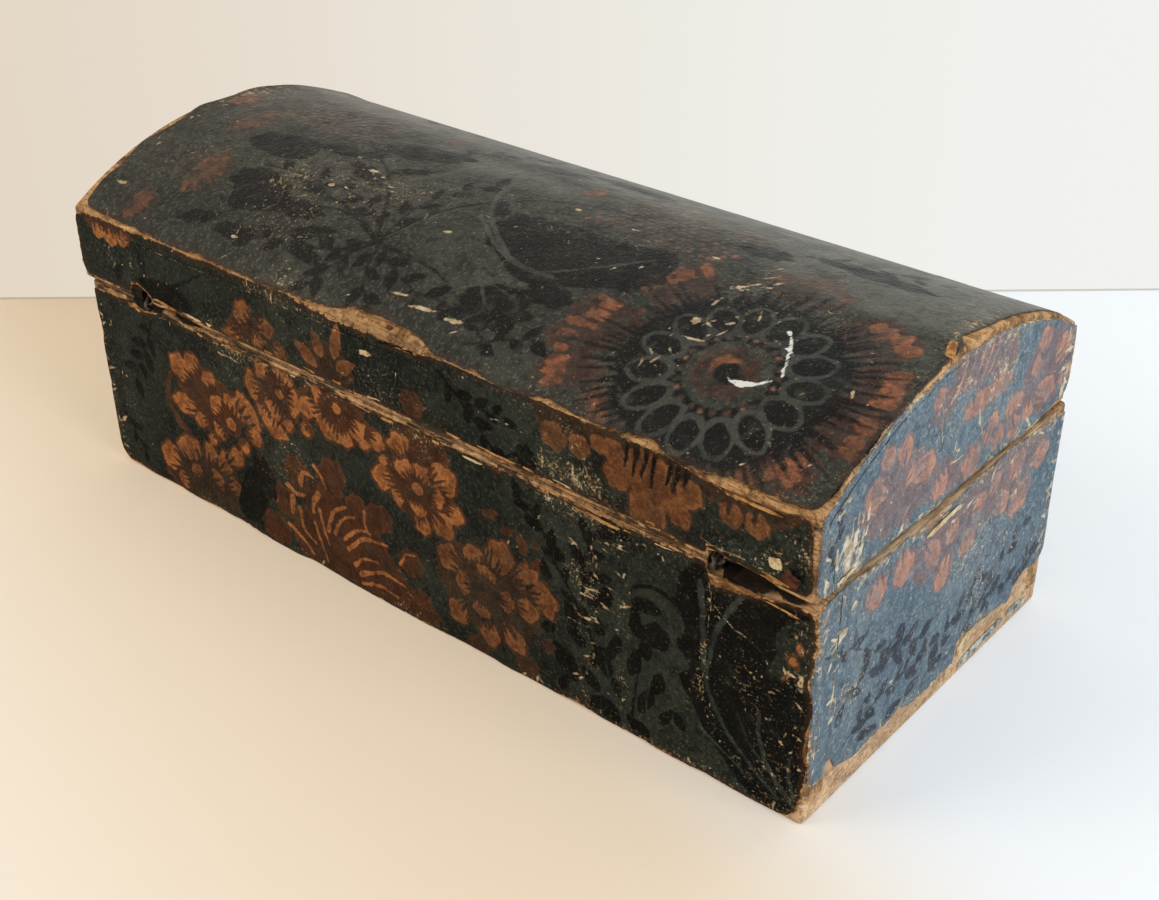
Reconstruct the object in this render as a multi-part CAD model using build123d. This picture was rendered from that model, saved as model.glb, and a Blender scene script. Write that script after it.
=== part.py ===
from build123d import *
from math import asin, cos, degrees, radians, sin
import os

# Papered pine box with a domed lid, for papers and keepsakes. Millimetres.
# The origin is the middle of the base's underside, +X runs along the box to its right-hand
# end, -Y faces the long side that carries the hinges, and +Z is up. The lid is shut.

# Base, over the bare boards
BASE_LENGTH = 359.0
BASE_DEPTH = 162.0
BASE_HEIGHT = 87.0
BASE_WALL = 11.0
BASE_END = 10.0
BOTTOM_BOARD = 8.5

# Lid, over the bare boards, a little larger than the base
LID_OVER_LENGTH = 2.7    # longer than the base
LID_OVER_DEPTH = 0.8     # deeper than the base
LID_SIDE = 30.6          # height of its sides, from the joint to the edge of the dome
DOME_RISE = 24.6         # from that edge to the crown
LID_WALL = 11.0
LID_END = 10.0
DOME_BOARD = 4.0         # thin board bent over the ends
LID_GAP = 0.3            # between the rims, which no longer meet all round
LID_CREEP = -3.0         # the lid has shifted along the base towards the left-hand end

# Paper, pasted on outside and in
PAPER = 0.4
LINING = 0.3
PAPER_EDGE = 1.8         # bare wood left along each worn edge
PAPER_CORNER = 5.0       # rounding of a sheet's torn corners
END_FOOT_BARE = 9.0      # bare strip along the foot of each end
END_RIM_BARE = 4.0       # bare strip below the rim at each end

# Wear on the boards
CORNER_WEAR = 2.0        # upright corners
RIM_WEAR = 1.2           # outer edges at the joint
DOME_EDGE_WEAR = 1.3     # edges of the dome board
FOOT_WEAR = 1.5          # edges of the underside
KNOCKED_END = 8.0        # left-hand bottom edge, knocked round
# Splits along an edge: which end they are measured from, distance in from it, length, depth
BASE_RIM_CHIPS = [(1, 22.5, 33.0, 3.6), (-1, 61.5, 38.0, 1.6)]
LID_RIM_CHIPS = [(1, 27.5, 28.0, 2.6), (-1, 55.5, 26.0, 1.5)]
DOME_EDGE_CHIPS = [(-1, 173.5, 52.0, 2.0), (1, 47.5, 60.0, 1.2)]

# Cut nails, sheared from iron plate, so that only two sides taper
NAIL_LENGTH = 27.0
TACK_LENGTH = 12.0
NAIL_PLATE = 1.7
NAIL_SHANK = 2.3         # width below the head
NAIL_TIP = 0.9
NAIL_HEAD = 3.6
NAIL_HEAD_THICK = 0.8
NAIL_SINK = 0.2          # heads punched below the surface
TACK_SHARE = 0.7         # a tack's widths beside a nail's
NAIL_EDGE = 14.0         # from the end of a row of nails to the board's edge
TACK_INSET = 3.6         # from the side of the lid to a row of tacks
TACK_SPREAD = 24.0       # degrees from the crown to the last tack over an end
# How many nails or tacks
CORNER_NAIL_COUNT = 3    # up each corner of the base
LID_CORNER_NAIL_COUNT = 2
SIDE_NAIL_COUNT = 5      # up through the bottom, along each long side
END_NAIL_COUNT = 2       # up through the bottom, along each end
DOME_SIDE_TACK_COUNT = 5
DOME_END_TACK_COUNT = 5

# Wire hinges: two linked eyes, each with a shank driven through a board and clinched
HINGE_INSET = 38.0       # from each end of the base
HINGE_WIRE = 1.4
WIRE_SIDES = 8           # hammered flats around the wire
EYE_WIDTH = 4.2          # to the middle of the wire
EYE_TURNS = 16           # short bends that make the round eye
EYE_BEND = 1.1           # cut across each corner of the squared eye
HINGE_PLAY = 0.08        # between the linked eyes where they bear
HINGE_SET_IN = 0.6       # from the boards' outer face in to the hinge line
SHANK = 2.0
LEG = 1.2                # each half of a shank, once spread
LEG_REACH = 8.0
SHANK_SLOPE = 45.0
NOTCH_PLAY = 0.4         # crushed wood around the eyes

lid_length = BASE_LENGTH + LID_OVER_LENGTH
lid_depth = BASE_DEPTH + LID_OVER_DEPTH
wire_r = HINGE_WIRE / 2
leg_r = LEG / 2
back_y = -BASE_DEPTH / 2
lid_z = BASE_HEIGHT + LID_GAP
lid_y = back_y + lid_depth / 2
dome_r = ((lid_depth / 2) ** 2 + DOME_RISE ** 2) / (2 * DOME_RISE)
dome_axis_z = LID_SIDE + DOME_RISE - dome_r
under_r = dome_r - DOME_BOARD
hinge_y = back_y + HINGE_SET_IN
hinge_z = BASE_HEIGHT + LID_GAP / 2
hinge_xs = [side * (BASE_LENGTH / 2 - HINGE_INSET) for side in (-1, 1)]
notch_r = EYE_WIDTH + wire_r + NOTCH_PLAY
in_lid = Pos(LID_CREEP, lid_y, lid_z)


def spread(count, reach):
    """Places of a row of things, evenly spaced over plus and minus reach."""
    step = 2 * reach / (count - 1)
    return [-reach + step * i for i in range(count)]


def cut_nail(length, share, over):
    """Nail pointing down from the origin, its head as wide for a height over it."""
    head = NAIL_HEAD * share / 2
    shank = NAIL_SHANK * share / 2
    tip = NAIL_TIP * share / 2
    low = -NAIL_SINK
    neck = low - NAIL_HEAD_THICK * share
    half = [(head, low + over), (head, neck), (shank, neck), (tip, low - length)]
    other = [(-x, z) for x, z in reversed(half)]
    side = make_face(Polyline(*half, *other, close=True))
    return extrude(Plane.XZ * side, NAIL_PLATE * share / 2, both=True)


def driven(places, length, share=1.0):
    """Nails driven at the places given, and the holes they leave, open above the heads."""
    nails = [place * cut_nail(length, share, 0) for place in places]
    holes = [place * cut_nail(length, share, NAIL_HEAD) for place in places]
    return nails, holes


def edge_chips(sizes, z, bite):
    """Shallow scoops out of the hinge side's edge at a height, biting in the direction given."""
    inward = Vector(0, *bite).normalized()
    scoops = []
    for end, inset, length, depth in sizes:
        r = (length ** 2 / 4 + depth ** 2) / (2 * depth)
        middle = Vector(end * (BASE_LENGTH / 2 - inset), back_y, z) - inward * (r - depth)
        scoop = Plane(origin=middle, x_dir=(1, 0, 0), z_dir=Vector(1, 0, 0).cross(inward))
        scoops.append(scoop * Cylinder(r, BASE_HEIGHT / 2))
    return scoops


def outer_edges(face):
    """Edges of a board's top or foot, but for the one along its inner side."""
    return face.edges().sort_by(Axis.Y)[:-1]


def upright(length, thick, height):
    """Long upright board: outer face on -Y, its two outer corners worn round."""
    plan = Pos(0, thick / 2) * Rectangle(length, thick)
    plan = fillet(plan.vertices().sort_by(Axis.Y)[:2], CORNER_WEAR)
    return extrude(plan, height)


# Nails and tacks, each place on the surface that it was driven through
corner_x = BASE_LENGTH / 2 - BASE_END / 2
corner_reach = (BASE_HEIGHT - BOTTOM_BOARD) / 2 - NAIL_EDGE
corner_mid = (BASE_HEIGHT + BOTTOM_BOARD) / 2
base_corners = [
    Pos(end * corner_x, side * BASE_DEPTH / 2, corner_mid + up) * Rot(X=-90 * side)
    for end in (-1, 1)
    for side in (-1, 1)
    for up in spread(CORNER_NAIL_COUNT, corner_reach)
]
corner_nails, corner_holes = driven(base_corners, NAIL_LENGTH)

wall_mid_y = BASE_DEPTH / 2 - BASE_WALL / 2
bottom_reach = BASE_LENGTH / 2 - 2 * NAIL_EDGE
under_sides = [
    Pos(x, side * wall_mid_y, 0) * Rot(X=180)
    for side in (-1, 1)
    for x in spread(SIDE_NAIL_COUNT, bottom_reach)
]
under_ends = [
    Pos(end * corner_x, y, 0) * Rot(X=180)
    for end in (-1, 1)
    for y in spread(END_NAIL_COUNT, BASE_DEPTH / 4)
]
bottom_nails, bottom_holes = driven(under_sides + under_ends, NAIL_LENGTH)

lid_corner_x = lid_length / 2 - LID_END / 2
lid_low_nail = LID_SIDE / 4
lid_nail_rise = LID_SIDE * 0.4
lid_corners = [
    in_lid
    * Pos(end * lid_corner_x, side * lid_depth / 2, lid_low_nail + i * lid_nail_rise)
    * Rot(X=-90 * side)
    for end in (-1, 1)
    for side in (-1, 1)
    for i in range(LID_CORNER_NAIL_COUNT)
]
lid_corner_nails, lid_corner_holes = driven(lid_corners, NAIL_LENGTH)


def on_dome(x, angle):
    """Place on the dome at x and at an angle from the crown towards +Y, facing outwards."""
    return in_lid * Pos(x, 0, dome_axis_z) * Rot(X=-angle) * Pos(0, 0, dome_r)


side_angle = degrees(asin((lid_depth / 2 - TACK_INSET) / dome_r))
dome_sides = [
    on_dome(x, side * side_angle)
    for side in (-1, 1)
    for x in spread(DOME_SIDE_TACK_COUNT, lid_length / 2 - 2 * NAIL_EDGE)
]
dome_ends = [
    on_dome(end * lid_corner_x, angle)
    for end in (-1, 1)
    for angle in spread(DOME_END_TACK_COUNT, TACK_SPREAD)
]
dome_tacks, dome_holes = driven(dome_sides + dome_ends, TACK_LENGTH, TACK_SHARE)


def eye_place(x, slope):
    """Plane of a hinge eye: its X along the hinge line, its Y along the shank."""
    shank_dir = Vector(0, cos(radians(slope)), sin(radians(slope)))
    return Plane(origin=(x, hinge_y, hinge_z), x_dir=(1, 0, 0),
                 z_dir=Vector(1, 0, 0).cross(shank_dir))


def flats(radius):
    """Section of hammered wire that fits inside a circle of this radius."""
    return RegularPolygon(radius, WIRE_SIDES)


def bent_eye(outline):
    """Hinge wire hammered round a closed outline of straight lengths."""
    line = outline.wire()
    section = Plane(origin=line @ 0, z_dir=line % 0) * flats(wire_r)
    return sweep(section, path=line, transition=Transition.RIGHT)


def clinched_shank(start, wall):
    """Shank in an eye's plane, through a board of this thickness, with its two spread legs."""
    clinch = (wall + LINING + leg_r - HINGE_SET_IN) / cos(radians(SHANK_SLOPE))
    rod = extrude(Plane(origin=(0, start, 0), z_dir=(0, 1, 0)) * flats(SHANK / 2), clinch - start)
    legs = Pos(0, clinch) * extrude(Plane.YZ * flats(leg_r), LEG_REACH, both=True)
    return rod + legs


def lower_hinge_eye(x):
    """Round eye standing square to the hinge line, its shank down through the base."""
    eye_r = EYE_WIDTH / 2
    drop = eye_r - HINGE_WIRE - HINGE_PLAY
    turns = Plane.YZ * RegularPolygon(eye_r, EYE_TURNS, major_radius=False, rotation=180 / EYE_TURNS)
    ring = Pos(0, drop) * bent_eye(turns)
    shank = clinched_shank(drop + eye_r, BASE_WALL)
    return eye_place(x, -SHANK_SLOPE) * (ring + shank)


def upper_hinge_eye(x):
    """Squared eye whose straight side lies on the hinge line, its shank up through the lid."""
    square = Pos(0, EYE_WIDTH / 2) * Rectangle(EYE_WIDTH, EYE_WIDTH)
    loop = bent_eye(chamfer(square.vertices(), EYE_BEND))
    shank = clinched_shank(EYE_WIDTH, LID_WALL)
    return eye_place(x, SHANK_SLOPE) * (loop + shank)


lower_eyes = [lower_hinge_eye(x) for x in hinge_xs]
upper_eyes = [upper_hinge_eye(x) for x in hinge_xs]
notches = [
    Pos(x, hinge_y, hinge_z) * Rot(Y=90) * Cylinder(notch_r, EYE_WIDTH + HINGE_WIRE + NOTCH_PLAY)
    for x in hinge_xs
]
base_chips = edge_chips(BASE_RIM_CHIPS, BASE_HEIGHT, (1, -2))
lid_chips = edge_chips(LID_RIM_CHIPS, lid_z, (1, 2))
dome_chips = edge_chips(DOME_EDGE_CHIPS, lid_z + LID_SIDE, (1, -1))

parts = {}

# Base boards: the long boards lap over the ends, and the bottom is nailed up under all four
wall_height = BASE_HEIGHT - BOTTOM_BOARD
long_board = upright(BASE_LENGTH, BASE_WALL, wall_height)
long_board = fillet(outer_edges(long_board.faces().sort_by(Axis.Z)[-1]), RIM_WEAR)
back_board = Pos(0, back_y, BOTTOM_BOARD) * long_board
front_board = Pos(0, -back_y, BOTTOM_BOARD) * Rot(Z=180) * long_board
base_holes = corner_holes + bottom_holes
parts["base_back_board"] = back_board - base_holes - notches - base_chips - lower_eyes
parts["base_front_board"] = front_board - base_holes

end_depth = BASE_DEPTH - 2 * BASE_WALL
end_board = Pos(BASE_END / 2, 0, wall_height / 2) * Box(BASE_END, end_depth, wall_height)
rim_edge = end_board.edges().filter_by(Axis.Y).group_by(Axis.Z)[-1].sort_by(Axis.X)[0]
end_board = fillet(rim_edge, RIM_WEAR)
left_end = Pos(-BASE_LENGTH / 2, 0, BOTTOM_BOARD) * end_board
right_end = Pos(BASE_LENGTH / 2, 0, BOTTOM_BOARD) * Rot(Z=180) * end_board
parts["base_left_end"] = left_end - base_holes
parts["base_right_end"] = right_end - base_holes

bottom = Pos(0, 0, BOTTOM_BOARD / 2) * Box(BASE_LENGTH, BASE_DEPTH, BOTTOM_BOARD)
low_left = bottom.edges().filter_by(Axis.Y).group_by(Axis.Z)[0].sort_by(Axis.X)[0]
bottom = fillet(low_left, min(KNOCKED_END, BOTTOM_BOARD - FOOT_WEAR / 3))
corners = bottom.edges().filter_by(Axis.Z).sort_by(Axis.X)[-2:]
bottom = fillet(corners, CORNER_WEAR)
low_right = [
    edge for edge in bottom.faces().sort_by(Axis.Z)[0].edges()
    if edge.center().X > 0 or abs(edge.center().Y) > BASE_DEPTH / 4
]
bottom = fillet(low_right, FOOT_WEAR)
parts["bottom_board"] = bottom - bottom_holes
parts["base_corner_nails"] = Compound(children=corner_nails)
parts["bottom_nails"] = Compound(children=bottom_nails)

for name, eye in zip(("left", "right"), lower_eyes):
    parts[f"{name}_lower_hinge_eye"] = eye

# Lid boards, built about the lid's own middle at the joint and then set on the base
side_profile = Plane.YZ * (
    Pos(-lid_depth / 2 + LID_WALL / 2, LID_SIDE / 2) * Rectangle(LID_WALL, LID_SIDE)
    & Pos(0, dome_axis_z) * Circle(under_r)
)
rail = extrude(side_profile, lid_length / 2, both=True)
rail = fillet(rail.edges().filter_by(Axis.Z).sort_by(Axis.Y)[:2], CORNER_WEAR)
rail = fillet(outer_edges(rail.faces().sort_by(Axis.Z)[0]), RIM_WEAR)
lid_holes = lid_corner_holes + dome_holes
back_rail = in_lid * rail
front_rail = in_lid * Rot(Z=180) * rail
parts["lid_back_rail"] = back_rail - lid_holes - notches - lid_chips - dome_chips - upper_eyes
parts["lid_front_rail"] = front_rail - lid_holes

lid_end_depth = lid_depth - 2 * LID_WALL
crown = LID_SIDE + DOME_RISE
arch = Plane.YZ * (
    Pos(0, crown / 2) * Rectangle(lid_end_depth, crown) & Pos(0, dome_axis_z) * Circle(under_r)
)
arched_end = extrude(arch, LID_END)
rim_edge = arched_end.edges().filter_by(Axis.Y).sort_by(Axis.X)[0]
arched_end = fillet(rim_edge, RIM_WEAR)
lid_left = in_lid * Pos(-lid_length / 2, 0, 0) * arched_end
lid_right = in_lid * Pos(lid_length / 2, 0, 0) * Rot(Z=180) * arched_end
parts["lid_left_end"] = lid_left - lid_holes
parts["lid_right_end"] = lid_right - lid_holes

bent = Plane.YZ * (
    (Pos(0, dome_axis_z) * Circle(dome_r) - Pos(0, dome_axis_z) * Circle(under_r))
    & Pos(0, crown) * Rectangle(lid_depth, crown)
)
dome = extrude(bent, lid_length / 2, both=True)
dome = fillet(dome.edges().filter_by(Axis.Z), CORNER_WEAR)
top_face = dome.faces().sort_by(SortBy.AREA)[-1]
dome = fillet(top_face.edges(), min(DOME_EDGE_WEAR, DOME_BOARD / 3))
parts["dome_board"] = in_lid * dome - lid_holes - dome_chips
parts["lid_corner_nails"] = Compound(children=lid_corner_nails)
parts["dome_tacks"] = Compound(children=dome_tacks)

for name, eye in zip(("left", "right"), upper_eyes):
    parts[f"{name}_upper_hinge_eye"] = eye


# Papers outside: one sheet to a face, each stopping short of the worn edges
def long_sheet(length, low, high, y, cuts=()):
    """Sheet on a long side between two heights, its back against the boards at y."""
    tall = high - low
    outline = Pos(0, (low + high) / 2) * RectangleRounded(length, tall, PAPER_CORNER)
    sheet = extrude(Plane.XZ * outline, PAPER if y < 0 else -PAPER)
    return Pos(0, y, 0) * sheet - list(cuts)


def end_sheet(outline, x):
    """Sheet on an end, its back against the boards at x."""
    return Pos(x, 0, 0) * extrude(Plane.YZ * outline, PAPER if x > 0 else -PAPER)


sheet_length = BASE_LENGTH - 2 * PAPER_EDGE
rim = BASE_HEIGHT - PAPER_EDGE
parts["base_back_paper"] = long_sheet(sheet_length, PAPER_EDGE, rim, back_y, notches + base_chips)
parts["base_front_paper"] = long_sheet(sheet_length, PAPER_EDGE, rim, -back_y)

end_high = BASE_HEIGHT - END_RIM_BARE
end_tall = end_high - END_FOOT_BARE
base_end_outline = Pos(0, END_FOOT_BARE + end_tall / 2) * RectangleRounded(
    BASE_DEPTH - 2 * CORNER_WEAR, end_tall, PAPER_CORNER
)
parts["base_left_paper"] = end_sheet(base_end_outline, -BASE_LENGTH / 2)
parts["base_right_paper"] = end_sheet(base_end_outline, BASE_LENGTH / 2)

lid_sheet_length = lid_length - 2 * PAPER_EDGE
lid_low = lid_z + PAPER_EDGE
lid_high = lid_z + LID_SIDE - PAPER_EDGE
lid_back_sheet = long_sheet(lid_sheet_length, lid_low, lid_high, back_y)
lid_back_sheet = Pos(LID_CREEP, 0, 0) * lid_back_sheet
parts["lid_back_paper"] = lid_back_sheet - notches - lid_chips - dome_chips
lid_front_sheet = long_sheet(lid_sheet_length, lid_low, lid_high, back_y + lid_depth)
parts["lid_front_paper"] = Pos(LID_CREEP, 0, 0) * lid_front_sheet

arch_width = lid_depth - 2 * CORNER_WEAR
lid_end_outline = Pos(0, (PAPER_EDGE + crown) / 2) * Rectangle(arch_width, crown - PAPER_EDGE)
lid_end_outline &= Pos(0, dome_axis_z) * Circle(under_r)
parts["lid_left_paper"] = in_lid * end_sheet(lid_end_outline, -lid_length / 2)
parts["lid_right_paper"] = in_lid * end_sheet(lid_end_outline, lid_length / 2)

skin = Plane.YZ * (
    (Pos(0, dome_axis_z) * Circle(dome_r + PAPER) - Pos(0, dome_axis_z) * Circle(dome_r))
    & Pos(0, crown) * Rectangle(lid_depth - 2 * PAPER_EDGE, crown)
)
dome_sheet = in_lid * extrude(skin, lid_sheet_length / 2, both=True)
parts["dome_paper"] = dome_sheet - dome_chips


# Lining papers: a tray in the base, and a hood in the lid up to the dome board
def lining(length, profile):
    """Paper inside a space of this length, whose profile can be drawn in by an amount."""
    space = extrude(Plane.YZ * profile(0), length / 2, both=True)
    return space - extrude(Plane.YZ * profile(LINING), length / 2 - LINING, both=True)


def base_profile(shrink):
    """Section of the base's inside, open at the rim."""
    wide = end_depth - 2 * shrink
    tall = wall_height - shrink
    return Pos(0, BASE_HEIGHT - tall / 2) * Rectangle(wide, tall)


def lid_profile(shrink):
    """Section of the lid's inside, open at the joint."""
    inside = Pos(0, crown / 2) * Rectangle(lid_end_depth - 2 * shrink, crown)
    return inside & Pos(0, dome_axis_z) * Circle(under_r - shrink)


parts["base_lining"] = lining(BASE_LENGTH - 2 * BASE_END, base_profile) - lower_eyes
parts["lid_lining"] = in_lid * lining(lid_length - 2 * LID_END, lid_profile) - upper_eyes

os.makedirs("parts", exist_ok=True)
for name, shape in parts.items():
    export_step(shape, f"parts/{name}.step")
print(len(parts), "nodes; dome radius", round(dome_r, 1))
print("hinge line", round(hinge_y, 2), round(hinge_z, 2))
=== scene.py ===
import math

import bpy
import numpy as np
from mathutils import Matrix, Vector


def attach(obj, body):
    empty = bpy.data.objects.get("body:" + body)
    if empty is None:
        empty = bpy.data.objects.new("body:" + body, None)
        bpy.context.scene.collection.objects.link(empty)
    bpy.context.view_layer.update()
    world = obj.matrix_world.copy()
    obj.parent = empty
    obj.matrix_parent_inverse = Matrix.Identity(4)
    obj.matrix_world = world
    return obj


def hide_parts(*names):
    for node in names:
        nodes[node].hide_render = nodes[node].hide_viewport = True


print("loading the frame")
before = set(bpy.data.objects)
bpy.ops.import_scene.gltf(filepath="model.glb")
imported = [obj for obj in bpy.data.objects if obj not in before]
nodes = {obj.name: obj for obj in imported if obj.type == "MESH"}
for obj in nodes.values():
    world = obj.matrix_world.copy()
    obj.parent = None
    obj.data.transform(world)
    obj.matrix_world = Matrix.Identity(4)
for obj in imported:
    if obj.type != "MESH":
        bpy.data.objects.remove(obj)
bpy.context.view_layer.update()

# The box's own sizes in mm, as the boards have them
box = {
    "baseLength": 359.0, "baseDepth": 162.0, "baseHeight": 87.0,
    "lidLength": 361.7, "lidDepth": 162.8, "lidSide": 30.6, "domeRise": 24.6, "domeBoard": 4.0,
    "lidX": -3.0, "lidY": 0.4, "lidZ": 87.3,
}
domeRadius = ((box["lidDepth"] / 2) ** 2 + box["domeRise"] ** 2) / (2 * box["domeRise"])
domeAxis = box["lidZ"] + box["lidSide"] + box["domeRise"] - domeRadius
domeReach = domeRadius * math.asin(box["lidDepth"] / 2 / domeRadius)
millimetre = 0.001  # the scene is in metres

# The random grid behind the hills comes round again after `cells`, and `shift` keeps places positive
lattice = {"cells": 89, "shift": 500.0}


# Soft random hills between 0 and 1, with crests about `size` mm apart
def hills(u, v, size, seed, octaves=1):
    cells, shift = lattice["cells"], lattice["shift"]
    total, share = 0.0, 1.0
    for step in range(octaves):
        grid = np.random.RandomState(seed + step).rand(cells, cells)
        a, b = u / size * 2**step + shift, v / size * 2**step + shift
        i, j = np.floor(a).astype(int), np.floor(b).astype(int)
        p, q = a - i, b - j
        p, q = p * p * (3 - 2 * p), q * q * (3 - 2 * q)
        i, j, iNext, jNext = i % cells, j % cells, (i + 1) % cells, (j + 1) % cells
        low = grid[i, j] * (1 - p) + grid[iNext, j] * p
        high = grid[i, jNext] * (1 - p) + grid[iNext, jNext] * p
        total = total + (low * (1 - q) + high * q) * share
        share /= 2
    return total / (2 - 2 * share)


# A smooth line through the points, as short straight runs
def curveThrough(points, runs=7):
    pts = np.array(points, float)
    if len(pts) == 2:
        return pts
    ends = np.vstack([2 * pts[0] - pts[1], pts, 2 * pts[-1] - pts[-2]])
    out = []
    for i in range(1, len(ends) - 2):
        a, b, c, d = ends[i - 1 : i + 3]
        for t in np.arange(runs) / runs:
            out.append(0.5 * (2 * b + (c - a) * t + (2 * a - 5 * b + 4 * c - d) * t**2
                              + (3 * b - a - 3 * c + d) * t**3))
    return np.array(out + [pts[-1]])


# How all marks are printed, in mm and degrees
press = {
    "wobble": 1.1, "wobbleSize": 3.0,  # how far outlines wander, and over what length
    "blank": -9.0, "margin": 3, "tiny": 1e-9,  # the depth where nothing is printed; room left round a mark
    "comb": {"teeth": 4, "from": 0.55, "spread": 0.7, "fan": 50, "jog": 8, "run": (0.4, 0.68),
             "wide": 1.9, "tip": 0.7},  # the dark teeth in a petal, as shares of its size
    "ground": {"grow": 2.5, "backed": 2, "ruffle": 0.15, "lobes": 6},  # the dark ground behind a petal
    "heart": {"dark": 4, "gap": 3.6, "pale": 2},  # rings of a flower's heart, times its size
    "sprig": {"start": 0.1, "tip": 0.6, "jog": 12, "size": (0.8, 1.15)},
    "chip": {"share": 3, "long": 3, "least": 0.6, "wide": (0.5, 0.7), "more": 0.35},
    "dot": {"jog": 0.16, "long": (0.7, 1.2), "wide": 0.8, "row": 0.8},
}


# How far the places u, v lie from the run between a and b, and how far along it, from 0 to 1
def offRun(u, v, a, b):
    run = b - a
    along = np.clip(((u - a[0]) * run[0] + (v - a[1]) * run[1]) / max(run @ run, press["tiny"]), 0, 1)
    return np.hypot(u - a[0] - along * run[0], v - a[1] - along * run[1]), along


# The cosine and sine of an angle in degrees
def direction(turn):
    return math.cos(math.radians(turn)), math.sin(math.radians(turn))


# One sheet's printing: how deep every point of the sheet lies inside each colour's shapes, in mm
class Print:
    names = ("bloom", "petal", "leaf", "vein", "loss", "wear", "crack", "faded", "light", "chalk")

    def __init__(self, u, v, seed):
        wobble, size = press["wobble"], press["wobbleSize"]
        self.u = u + wobble * (hills(u, v, size, seed, 2) - 0.5)
        self.v = v + wobble * (hills(u, v, size, seed + 7, 2) - 0.5)
        self.layers = {name: np.full(u.shape, press["blank"]) for name in self.names}
        self.random = np.random.RandomState(seed)

    def near(self, x, y, reach):
        return np.nonzero((abs(self.u - x) < reach) & (abs(self.v - y) < reach))

    # the points near a place, with their distances from it along and across a turned line
    def turned(self, x, y, turn, reach):
        where = self.near(x, y, reach + press["margin"])
        c, s = direction(turn)
        du, dv = self.u[where] - x, self.v[where] - y
        return where, du * c + dv * s, dv * c - du * s

    def lay(self, layer, where, depth, cut=False):
        layer = self.layers[layer]
        if cut:
            layer[where] = np.minimum(layer[where], -depth)
        else:
            layer[where] = np.maximum(layer[where], depth)

    # An oval with a lobed outline, turned by degrees
    def oval(self, layer, x, y, long, wide, turn=0.0, ruffle=0.0, lobes=7, cut=False):
        where, along, across = self.turned(x, y, turn, max(long, wide) * (0.5 + ruffle))
        a, b = along / (long / 2), across / (wide / 2)
        edge = 1 + ruffle * (np.abs(np.cos(np.arctan2(b, a) * lobes / 2)) - 0.6)
        self.lay(layer, where, (edge - np.hypot(a, b)) * min(long, wide) / 2, cut)

    # A stroke along a curve, tapering from one width to another
    def stroke(self, layer, points, wide, tip=None, cut=False):
        tip = wide if tip is None else tip
        pts = curveThrough(points)
        centre = (pts.min(0) + pts.max(0)) / 2
        where = self.near(*centre, (pts.max(0) - pts.min(0)).max() / 2 + wide + press["margin"])
        u, v = self.u[where], self.v[where]
        depth = np.full(u.shape, press["blank"])
        for i in range(len(pts) - 1):
            away, t = offRun(u, v, pts[i], pts[i + 1])
            along = (i + t) / (len(pts) - 1)
            depth = np.maximum(depth, (wide + (tip - wide) * along) / 2 - away)
        self.lay(layer, where, depth, cut)

    # A pointed leaf from its base outwards
    def leaf(self, x, y, long, wide, turn, layer="leaf"):
        where, a, b = self.turned(x, y, turn, long)
        a = a / long
        half = wide / 2 * np.sin(np.pi * np.clip(a, 0, 1) ** 0.8) ** 0.8
        past = np.maximum(np.maximum(-a, a - 1), 0) * long
        self.lay(layer, where, half - np.hypot(b, past) - 0.001)

    # A region inside a closed outline
    def region(self, layer, points):
        pts = curveThrough(list(points) + [points[0]], 4)
        centre = (pts.min(0) + pts.max(0)) / 2
        where = self.near(*centre, (pts.max(0) - pts.min(0)).max() / 2 + press["margin"] + 1)
        u, v = self.u[where], self.v[where]
        away = np.full(u.shape, 99.0)
        inside = np.zeros(u.shape, bool)
        for a, b in zip(pts[:-1], pts[1:]):
            away = np.minimum(away, offRun(u, v, a, b)[0])
            run = b - a
            if abs(run[1]) > press["tiny"]:
                crosses = (a[1] > v) != (b[1] > v)
                inside ^= crosses & (u < a[0] + (v - a[1]) * run[0] / run[1])
        self.lay(layer, where, np.where(inside, away, -away))

    # A ruffled petal with a comb of dark teeth running into it from the side of the flower's heart
    def petal(self, x, y, long, wide, turn, teeth=press["comb"]["teeth"]):
        comb = press["comb"]
        lobes = 4 + int(self.random.rand() * 3)
        self.oval("petal", x, y, long, wide, turn, 0.2, lobes)
        c, s = direction(turn)
        for i in range(teeth):
            side = (i + 0.5) / teeth - 0.5
            bx = x - c * long * comb["from"] - s * side * wide * comb["spread"]
            by = y - s * long * comb["from"] + c * side * wide * comb["spread"]
            fan = math.radians(turn + side * comb["fan"] + self.random.uniform(-comb["jog"], comb["jog"]))
            run = long * self.random.uniform(*comb["run"])
            self.stroke("petal", [(bx, by), (bx + math.cos(fan) * run, by + math.sin(fan) * run)],
                        comb["wide"], comb["tip"], cut=True)

    # A petal on a dark ground a little larger than itself
    def backed(self, x, y, long, wide, turn, teeth=3, grow=press["ground"]["backed"]):
        ground = press["ground"]
        self.oval("bloom", x, y, long + grow, wide + grow, turn, ground["ruffle"], ground["lobes"])
        self.petal(x, y, long, wide, turn, teeth)

    # A flower: dark body, pale heart, and petals given by where their middles lie
    def flower(self, x, y, body, petals, heart=2.6, teeth=press["comb"]["teeth"]):
        self.oval("bloom", *body, ruffle=0.12, lobes=11)
        for px, py, long, wide in petals:
            turn = math.degrees(math.atan2(py - y, px - x))
            self.backed(px, py, long, wide, turn, teeth, press["ground"]["grow"])
        if heart:
            dark, gap, pale = (heart * press["heart"][ring] for ring in ("dark", "gap", "pale"))
            self.oval("bloom", x, y, dark, dark)
            self.oval("petal", x, y, gap, gap, cut=True)
            self.oval("petal", x, y, pale, pale)

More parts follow.
